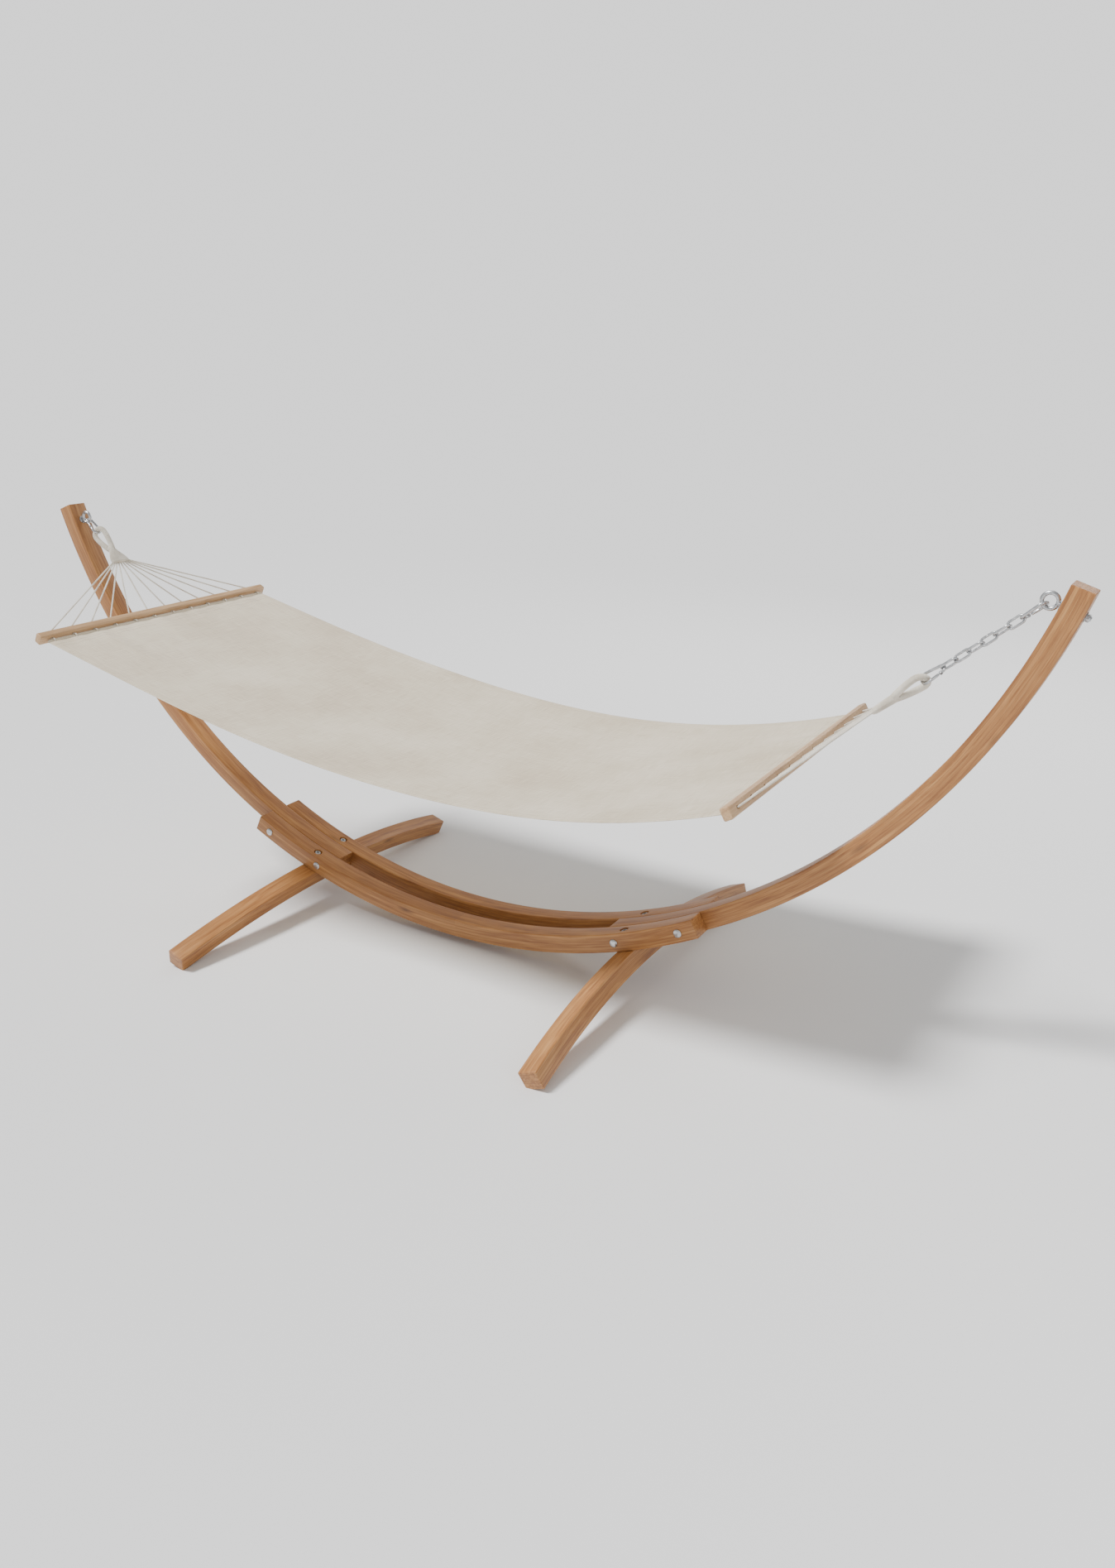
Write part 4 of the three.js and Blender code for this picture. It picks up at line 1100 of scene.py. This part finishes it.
def flare_line():
    """The whipped bundle along +X from the waist behind the eye to the flat mouth, and its half sizes."""
    start = EYE_LENGTH - NECK_RADIUS
    neck = EYE_LENGTH - NECK_RADIUS / 2
    rim = LOOP_LENGTH - MOUTH_ROUNDING
    points, halves = [], []
    steps = 36
    for step in range(steps + 1):
        x = start + (rim - start) * step / steps
        share = max(0.0, (x - neck) / (rim - neck))
        thick = NECK_RADIUS + (MOUTH_THICKNESS / 2 - NECK_RADIUS) * share
        thick *= 0.72 + 0.28 * min(1.0, (x - start) / (neck - start))
        wide = thick * (1 + (MOUTH_WIDTH / MOUTH_THICKNESS - 1) * eased(share))
        points.append(Vector((x, 0, 0)))
        halves.append((wide - WHIPPING, thick - WHIPPING))
    for draw_in, ahead in ((0.0006, 0.0014), (0.0018, 0.0024)):
        wide, thick = halves[steps]
        points.append(Vector((rim + ahead, 0, 0)))
        halves.append((wide - draw_in, thick - draw_in))
    return points, halves


def end_loop(name, place, twist):
    parts = []
    for label, (points, halves) in {"eye": eye_line(), "flare": flare_line()}.items():
        inner = [(wide + WHIPPING * 0.25, thick + WHIPPING * 0.25) for wide, thick in halves]
        core = bundle_core(points, inner, f"{label}_core")
        wound = grown(f"{label}_whipping", marked_line(label, points, halves), WHIPPING_TREE, {
            "Pitch": WHIPPING, "Cord radius": WHIPPING / 2, "Steps per turn": 24.0,
            "Plane normal": Vector((0, 0, 1)), "Material": cotton})
        for mesh in (core, wound.data):
            mesh.transform(turn_about("X", twist if label == "eye" else 0))
            parts.append(mesh)
        bpy.data.objects.remove(wound)
    mesh = joined(f"whipped_loop_{name}", parts)
    mesh.transform(place)
    mesh.materials.clear()
    mesh.materials.append(cotton)
    smooth_by_angle(mesh, 60)
    loop = new_object(f"whipped_loop_{name}", mesh)
    declared(loop, "hammock", "cotton_cord", f"end_loop_{name}")


LOOP_TWISTS = {"left": 70, "right": 45}
LOOP_STARTS = {name: reach_along(LINES[name], f"end_loop_{name}")[0] for name in SIDES}
for name in SIDES:
    end_loop(name, LINES[name] @ Matrix.Translation((LOOP_STARTS[name], 0, 0)), LOOP_TWISTS[name])


# ---------------------------------------------------------------- Spreader bars
# Two planed hardwood bars keep the cloth open. Each has eased edges and twelve countersunk holes through its
# thickness, one for each cord.
BAR_LENGTH = 0.960
BAR_THICKNESS = 0.024
BAR_HEIGHT = 0.032
BAR_TILT = 28
BAR_EASE = 0.0045
BAR_END_EASE = 0.003
CORD_COUNT = 12
CORD_MARGIN = 0.042
CORD_HOLE = 0.0038
COUNTERSINK = 0.0062
BAR_TONES = {
    "light": (0.62, 0.415, 0.235), "middle": (0.52, 0.325, 0.17), "dark": (0.37, 0.21, 0.10),
    "pore": (0.20, 0.10, 0.045), "knot": (0.20, 0.10, 0.045), "spread": 0.1, "knots": 0.0, "glue": 0.0,
}
bar_wood = wood_shader("oiled_hardwood", BAR_TONES, 0.05, 0.05, 0.30)


def bar_frame(name):
    """Origin at the bar's middle, +X from its outer to its inner face, +Z up its height."""
    low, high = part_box(f"spreader_bar_{name}")
    side = SIDES[name]
    inward = Vector((-side * math.cos(math.radians(BAR_TILT)), 0, -math.sin(math.radians(BAR_TILT))))
    up = Vector((-side * math.sin(math.radians(BAR_TILT)), 0, math.cos(math.radians(BAR_TILT))))
    across = up.cross(inward)
    return Matrix.Translation((low + high) / 2) @ Matrix((inward, across, up)).transposed().to_4x4()


def cord_offsets():
    spread = BAR_LENGTH - 2 * CORD_MARGIN
    return [spread * (index / (CORD_COUNT - 1) - 0.5) for index in range(CORD_COUNT)]


def turn_faces_out(mesh):
    """Points a closed mesh's faces outwards."""
    shell = bmesh.new()
    shell.from_mesh(mesh)
    bmesh.ops.recalc_face_normals(shell, faces=shell.faces)
    shell.to_mesh(mesh)
    shell.free()


def spreader_bar(name, seed):
    placed = bar_frame(name)
    ends = eased_ends(BAR_END_EASE)
    places = [(-BAR_LENGTH / 2 + slide, inset) for slide, inset in ends]
    span = BAR_LENGTH - 2 * BAR_END_EASE
    places += [(-span / 2 + span * step / 48, 0) for step in range(1, 48)]
    places += [(BAR_LENGTH / 2 - slide, inset) for slide, inset in reversed(ends)]
    rings = [[Vector((x, y, z)) for x, z in eased_section(BAR_THICKNESS, BAR_HEIGHT, BAR_EASE, inset)]
             for y, inset in places]
    bar = new_object(f"bar_{name}", loft(rings, "bar"))
    half = BAR_THICKNESS / 2
    past, wide, deep = half + 0.002, COUNTERSINK + 0.002, half - 0.003
    profile = [(0, -past), (wide, -past), (COUNTERSINK, -half), (CORD_HOLE, -deep),
               (CORD_HOLE, deep), (COUNTERSINK, half), (wide, past), (0, past)]
    bored(bar, [turned(profile, 24, matrix=Matrix.Translation((0, y, 0)) @ turn_about("Y", 90))
                for y in cord_offsets()])
    grain = bar.data.attributes.new("grain", "FLOAT_VECTOR", "POINT")
    for vertex, entry in zip(bar.data.vertices, grain.data):
        entry.vector = (vertex.co.y + seed * GRAIN_STRIDE, vertex.co.x, vertex.co.z + BAR_HEIGHT / 2)
    bar.data.transform(placed)
    turn_faces_out(bar.data)
    smooth_by_angle(bar.data)
    bar.data.materials.append(bar_wood)
    declared(bar, "hammock", "bar_timber", f"spreader_bar_{name}")


for seed, name in enumerate(SIDES, start=11):
    spreader_bar(name, seed)


# ---------------------------------------------------------------- Cords
# Twelve laid cotton cords fan out from the mouth of each loop to the holes in the bar. They carry the load,
# so each is pulled straight; three strands twist round each other along it.
CORD_DIAMETER = 0.005
CORD_LAY = 0.022
CORD_STEP = 0.0018
MOUTH_SPREAD = 0.0305


def cord_tree():
    """Lays three strands along the source line: a lobed section that turns once in each lay."""
    tree, inputs, outputs = node_tree("lay_cord", {
        "Radius": ("Float", 0.0025), "Lay": ("Float", 0.02), "Step": ("Float", 0.002),
        "Lobe": ("Float", 0.12), "Material": ("Material", None)})
    value = inputs.outputs
    sums = sums_in(tree)
    line = tree_node(tree, "GeometryNodeMeshToCurve", {0: value["Geometry"]})
    fine = tree_node(tree, "GeometryNodeResampleCurve",
                     {"Curve": line.outputs[0], "Length": value["Step"]}, mode="LENGTH")
    run = tree_node(tree, "GeometryNodeSplineParameter").outputs["Length"]
    tilt = sums("MULTIPLY", sums("DIVIDE", run, value["Lay"]), 2 * math.pi)
    laid = tree_node(tree, "GeometryNodeSetCurveTilt", {"Curve": fine.outputs[0], "Tilt": tilt})
    circle = tree_node(tree, "GeometryNodeCurvePrimitiveCircle",
                       {"Resolution": 15, "Radius": value["Radius"]})
    share = tree_node(tree, "GeometryNodeSplineParameter").outputs["Factor"]
    ripple = sums("COSINE", sums("MULTIPLY", share, 6 * math.pi))
    grow = sums("MULTIPLY", ripple, value["Lobe"])
    here = tree_node(tree, "GeometryNodeInputPosition").outputs[0]
    offset = tree_node(tree, "ShaderNodeVectorMath", {0: here, "Scale": grow}, operation="SCALE")
    lobed = tree_node(tree, "GeometryNodeSetPosition",
                      {"Geometry": circle.outputs[0], "Offset": offset.outputs[0]})
    strand = tree_node(tree, "GeometryNodeCurveToMesh", {
        "Curve": laid.outputs[0], "Profile Curve": lobed.outputs[0], "Fill Caps": True})
    end_tree(tree, outputs, strand.outputs[0])
    return tree


CORD_TREE = cord_tree()


def laid_cord(name, index, offset):
    line = LINES[name]
    share = index / (CORD_COUNT - 1) * 2 - 1
    mouth = LOOP_STARTS[name] + LOOP_LENGTH - 0.006
    start = line @ Vector((mouth, MOUTH_SPREAD * share, 0))
    hole = bar_frame(name) @ Vector((-BAR_THICKNESS / 2 + 0.002, 0, 0))
    hole.y = offset
    mesh = bpy.data.meshes.new("line")
    mesh.from_pydata([start, hole], [(0, 1)], [])
    cord = grown(f"cord_{name}_{index + 1}", mesh, CORD_TREE, {
        "Radius": CORD_DIAMETER / 2 * 0.94, "Lay": CORD_LAY, "Step": CORD_STEP, "Lobe": 0.11,
        "Material": cotton})
    smooth_by_angle(cord.data, 60)
    declared(cord, "hammock", "cotton_cord", f"cord_fan_{name}")


for name in SIDES:
    for index, offset in enumerate(cord_offsets()):
        laid_cord(name, index, offset)


# ---------------------------------------------------------------- Bed
# One sheet of heavy undyed cotton canvas. Its long sides are turned under in a double hem with two rows of
# stitches; its ends are rolled round a rope, and the cords' loops pass round the roll through the cloth.
BED_WIDTH = 0.918
THREAD_PITCH = 0.0022
CLOTH = 0.0016
HEM = 0.024
HEM_THICKNESS = 0.0034
ROLL_RADIUS = 0.0055
ROLL_PLACE = 0.0095
ROLL_SIDES = 20
HEM_ROUNDING = 0.0016
END_SLOPES = {"left": 14.0, "right": 18.3}
BED_STEPS = 300
CROSS_SAG = 0.016


def canvas_shader():
    """Heavy plain-weave canvas, undyed: threads both ways, flecks of husk and slow changes of tone."""
    tree = MaterialTree("undyed_canvas")
    sums = tree.sums
    uv = tree_node(tree, "ShaderNodeUVMap", uv_map="cloth").outputs[0]
    parts = tree_node(tree, "ShaderNodeSeparateXYZ", {0: uv})
    thread_wave = 2 * math.pi / THREAD_PITCH
    warp, weft = [sums("SINE", sums("MULTIPLY", parts.outputs[axis], thread_wave)) for axis in (0, 1)]
    weave = sums("ADD", sums("MULTIPLY", sums("MULTIPLY", warp, weft), 0.25), 0.5)
    slub = tree.noise(tree.stretched(uv, (14, 420, 1)), 1.0, 3)
    other = tree.noise(tree.stretched(uv, (420, 14, 1)), 1.0, 3)
    slubs = sums("ADD", slub, other)
    share = sums("ADD", sums("MULTIPLY", tree.noise(uv, 3.0, 3), 0.35), sums("MULTIPLY", slubs, 0.33))
    tone = tree.ramp(share, (0.40, (0.57, 0.475, 0.335)), (0.60, (0.79, 0.70, 0.545)))
    fleck = sums("SUBTRACT", tree.noise(uv, 420.0, 1), 0.70, clamp=True)
    colour = tree.mixed(sums("MULTIPLY", fleck, 3.0, clamp=True), tone, (0.42, 0.34, 0.23, 1))
    tree.shader.inputs["Sheen Weight"].default_value = 0.18
    return tree.finish(colour, 0.9, sums("ADD", weave, sums("MULTIPLY", slubs, 0.6)), 0.7, 0.0008)


canvas = canvas_shader()


def bed_curve():
    """The middle line of the bed in the XZ plane, from the left roll to the right one, and its length."""
    start, finish = [bar_frame(name) @ Vector((BAR_THICKNESS / 2 + ROLL_PLACE, 0, 0)) for name in SIDES]
    third = (finish.x - start.x) / 3
    handles = [start, start + Vector((third, 0, -third * math.tan(math.radians(END_SLOPES["left"])))),
               finish + Vector((-third, 0, -third * math.tan(math.radians(END_SLOPES["right"])))), finish]
    points = []
    for step in range(BED_STEPS + 1):
        t = step / BED_STEPS
        weights = ((1 - t) ** 3, 3 * t * (1 - t) ** 2, 3 * t * t * (1 - t), t ** 3)
        points.append(sum((weight * handle for weight, handle in zip(weights, handles)), Vector()))
    runs = [0.0]
    for before, after in zip(points, points[1:]):
        runs.append(runs[-1] + (after - before).length)
    return points, runs


BED_LINE, BED_RUNS = bed_curve()
BED_LENGTH = BED_RUNS[-1]
folds = random.Random(7)
LONG_FOLDS = [(folds.uniform(-0.42, 0.42), folds.uniform(0.018, 0.045), folds.uniform(0.0020, 0.0045),
               folds.uniform(0.10, 0.34), folds.choice((0, 1))) for _ in range(16)]


def bed_lift(run, across):
    """How far the cloth stands above its middle line: the sag between the hems, and folds from the cords."""
    ends = (run, BED_LENGTH - run)
    near = min(ends)
    slack = eased(min(1.0, near / 0.5))
    share = across / (BED_WIDTH / 2)
    lift = -CROSS_SAG * slack * (1 - share * share)
    pulls = math.cos(2 * math.pi * (across / (BED_WIDTH / 2 * 0.9545)) * (CORD_COUNT - 1) / 2 + math.pi)
    lift += 0.0024 * pulls * math.exp(-near / 0.09) * eased(min(1.0, near / 0.02))
    for place, width, height, reach, end in LONG_FOLDS:
        closeness = math.exp(-((across - place * (1 - 0.3 * ends[end])) / width) ** 2)
        lift += height * closeness * math.exp(-ends[end] / reach) * eased(min(1.0, ends[end] / 0.08))
    lift += 0.0022 * slack * math.sin(run * 4.1 + 2.0 * across) * math.sin(across * 7.0 + run * 1.3)
    return lift


def bed_point(step, across, offset=0.0):
    """A point of the bed: step along its line, across it, and offset above the middle of the cloth."""
    low, high = max(step - 1, 0), min(step + 1, BED_STEPS)
    along = (BED_LINE[high] - BED_LINE[low]).normalized()
    up = Vector((-along.z, 0, along.x))
    place = BED_LINE[step] + up * (bed_lift(BED_RUNS[step], across) + offset)
    return Vector((place.x, across, place.z))


def bed_columns():
    """Places across the cloth, closer together at the step of each hem."""
    edge = BED_WIDTH / 2
    inner = edge - HEM
    count = 84
    middle = [-inner + 2 * inner * step / count for step in range(count + 1)]
    outer = [inner + 0.0006, inner + HEM * 0.33, inner + HEM * 0.66, edge - HEM_ROUNDING]
    return [-x for x in reversed(outer)] + middle + outer


def cloth_bottom(across):
    inside_hem = abs(across) > BED_WIDTH / 2 - HEM + 0.0003
    return CLOTH / 2 - HEM_THICKNESS if inside_hem else -CLOTH / 2


def lay_cloth():
    columns = bed_columns()
    top = [(x, CLOTH / 2) for x in columns]
    bottom = [(x, cloth_bottom(x)) for x in reversed(columns)]
    round_off = HEM_THICKNESS / 2
    centre = CLOTH / 2 - round_off
    fold = [(math.sin(t * math.pi / 4), math.cos(t * math.pi / 4)) for t in (1, 2, 3)]
    right = [(BED_WIDTH / 2 - HEM_ROUNDING + round_off * s, centre + round_off * c) for s, c in fold]
    left = [(-x, z) for x, z in reversed(right)]
    section = top + right + bottom + left
    shell = bmesh.new()
    cloth_uv = shell.loops.layers.uv.new("cloth")
    rows = [[shell.verts.new(bed_point(step, x, z)) for x, z in section] for step in range(BED_STEPS + 1)]
    count = len(section)
    for step in range(BED_STEPS):
        for i in range(count):
            j = (i + 1) % count
            face = shell.faces.new((rows[step][i], rows[step][j], rows[step + 1][j], rows[step + 1][i]))
            corners = ((step, i), (step, j), (step + 1, j), (step + 1, i))
            for loop, (row, column) in zip(face.loops, corners):
                loop[cloth_uv].uv = (BED_RUNS[row], section[column][0])
    top_count = len(columns)
    for row in (rows[0], rows[-1]):
        low = row[top_count + 3:top_count + 3 + top_count]
        for i in range(top_count - 1):
            shell.faces.new((row[i], row[i + 1], low[top_count - 2 - i], low[top_count - 1 - i]))
        shell.faces.new((row[top_count - 1], *row[top_count:top_count + 3], low[0]))
        shell.faces.new((low[-1], *row[top_count + 3 + top_count:], row[0]))
    mesh = mesh_of(shell, "canvas_bed")
    smooth_by_angle(mesh, 50)
    mesh.materials.append(canvas)
    return new_object("canvas_bed", mesh)


def rolled_end(name):
    """The rolled end of the cloth: a sleeve round a rope, drawn in where each cord's loop passes."""
    side = SIDES[name]
    step = 0 if side < 0 else BED_STEPS
    rings = []
    count = 240
    for index in range(count + 1):
        across = BED_WIDTH / 2 * (index / count * 2 - 1)
        nearest = min(abs(across - offset) for offset in cord_offsets())
        radius = ROLL_RADIUS * (1 - 0.16 * math.exp(-(nearest / 0.006) ** 2) + 0.03 * math.sin(across * 310))
        edge = (BED_WIDTH / 2 - abs(across)) / ROLL_RADIUS
        if edge < 1:
            radius *= 0.45 + 0.55 * math.sqrt(1 - (1 - edge) ** 2)
        centre = BED_LINE[step]
        rings.append([Vector((centre.x + radius * math.cos(turn), across, centre.z + radius * math.sin(turn)))
                      for turn in round_turns(ROLL_SIDES)])
    shell = bmesh.new()
    cloth_uv = shell.loops.layers.uv.new("cloth")
    rows = [[shell.verts.new(point) for point in ring] for ring in rings]
    for index in range(count):
        for k in range(ROLL_SIDES):
            j = (k + 1) % ROLL_SIDES
            face = shell.faces.new((rows[index][k], rows[index][j], rows[index + 1][j], rows[index + 1][k]))
            corners = ((index, k), (index, k + 1), (index + 1, k + 1), (index + 1, k))
            for loop, (row, turn) in zip(face.loops, corners):
                loop[cloth_uv].uv = (turn / ROLL_SIDES * 2 * math.pi * ROLL_RADIUS, BED_WIDTH * row / count)
    shell.faces.new(rows[0])
    shell.faces.new(rows[-1])
    mesh = mesh_of(shell, f"rolled_end_{name}")
    smooth_by_angle(mesh, 50)
    mesh.materials.append(canvas)
    return declared(new_object(f"rolled_end_{name}", mesh), "hammock", "canvas")


bed = declared(lay_cloth(), "hammock", "canvas", "hammock_bed")
rolls = [rolled_end(name) for name in SIDES]


# ---------------------------------------------------------------- Stitches
# Waxed thread: two rows along each long hem and two across each end, behind the roll.
STITCH = 0.0042
STITCH_GAP = 0.0018
THREAD = 0.00055


def stitch_tree():
    tree, inputs, outputs = node_tree("stitch_row", {
        "Stitch": ("Float", 0.004), "Gap": ("Float", 0.002), "Thread": ("Float", 0.0005),
        "Material": ("Material", None)})
    value = inputs.outputs
    sums = sums_in(tree)
    line = tree_node(tree, "GeometryNodeMeshToCurve", {0: value["Geometry"]})
    point_wires = {"Curve": line.outputs[0], "Length": sums("ADD", value["Stitch"], value["Gap"])}
    points = tree_node(tree, "GeometryNodeResampleCurve", point_wires, mode="LENGTH")
    grain = tree_node(tree, "GeometryNodeMeshUVSphere", {"Segments": 6, "Rings": 4, "Radius": 1.0})
    size = tree_node(tree, "ShaderNodeCombineXYZ", {
        0: value["Thread"], 1: value["Thread"], 2: sums("MULTIPLY", value["Stitch"], 0.5)})
    along = tree_node(tree, "GeometryNodeInputTangent")
    turn = tree_node(tree, "FunctionNodeAlignRotationToVector", {"Vector": along.outputs[0]}, axis="Z")
    row = tree_node(tree, "GeometryNodeInstanceOnPoints", {
        "Points": points.outputs[0], "Instance": grain.outputs[0], "Rotation": turn.outputs[0],
        "Scale": size.outputs[0]})
    end_tree(tree, outputs, row.outputs[0])
    return tree


def stitch_rows():
    """The lines that the stitches follow, on top of the cloth."""
    rows = []
    height = CLOTH / 2 + 0.0001
    for side in (-1, 1):
        for inset in (0.0045, HEM - 0.0035):
            across = side * (BED_WIDTH / 2 - inset)
            rows.append([bed_point(step, across, height) for step in range(4, BED_STEPS - 3)])
    for step in (4, 6, BED_STEPS - 6, BED_STEPS - 4):
        span = BED_WIDTH / 2 - 0.006
        rows.append([bed_point(step, -span + 2 * span * k / 160, height) for k in range(161)])
    return rows


def lines_mesh(name, rows):
    points, edges = [], []
    for row in rows:
        edges += [(len(points) + i, len(points) + i + 1) for i in range(len(row) - 1)]
        points += row
    mesh = bpy.data.meshes.new(name)
    mesh.from_pydata(points, edges, [])
    return mesh


thread = cotton_shader("waxed_thread", (0.62, 0.55, 0.42), (0.47, 0.40, 0.30), 2400)
stitches = grown("hem_stitches", lines_mesh("stitch_lines", stitch_rows()), stitch_tree(), {
    "Stitch": STITCH, "Gap": STITCH_GAP, "Thread": THREAD, "Material": thread})
declared(stitches, "hammock", "canvas")


# ---------------------------------------------------------------- Lacing
# Each cord comes out of the bar's inner face as a short loop, goes round the rolled end through a slit in the
# cloth and back into its hole.
LACING_RADIUS = 0.0021


def lacing_loop():
    """In the bar's frame: a drop-shaped loop from inside the hole round the roll."""
    hole = Vector((BAR_THICKNESS / 2 - 0.004, 0, 0))
    centre = Vector((BAR_THICKNESS / 2 + ROLL_PLACE, 0, 0))
    reach = ROLL_RADIUS * 0.86 + LACING_RADIUS
    lean = math.acos(reach / (centre - hole).length)
    points = [hole + Vector((0, 0, 0.0008))]
    for step in range(23):
        turn = math.pi - lean - (2 * math.pi - 2 * lean) * step / 22
        points.append(centre + reach * Vector((math.cos(turn), 0, math.sin(turn))))
    points.append(hole - Vector((0, 0, 0.0008)))
    return swept(points, LACING_RADIUS, "lacing", sides=10, normal=Vector((0, 1, 0)))


def lacing_places():
    for name in SIDES:
        placed = bar_frame(name)
        for offset in cord_offsets():
            yield placed @ Matrix.Translation((0, offset, 0))


lacing = set_out("lacing_loops", lacing_loop(), list(lacing_places()), cotton, 60)
declared(lacing, "hammock", "cotton_cord")
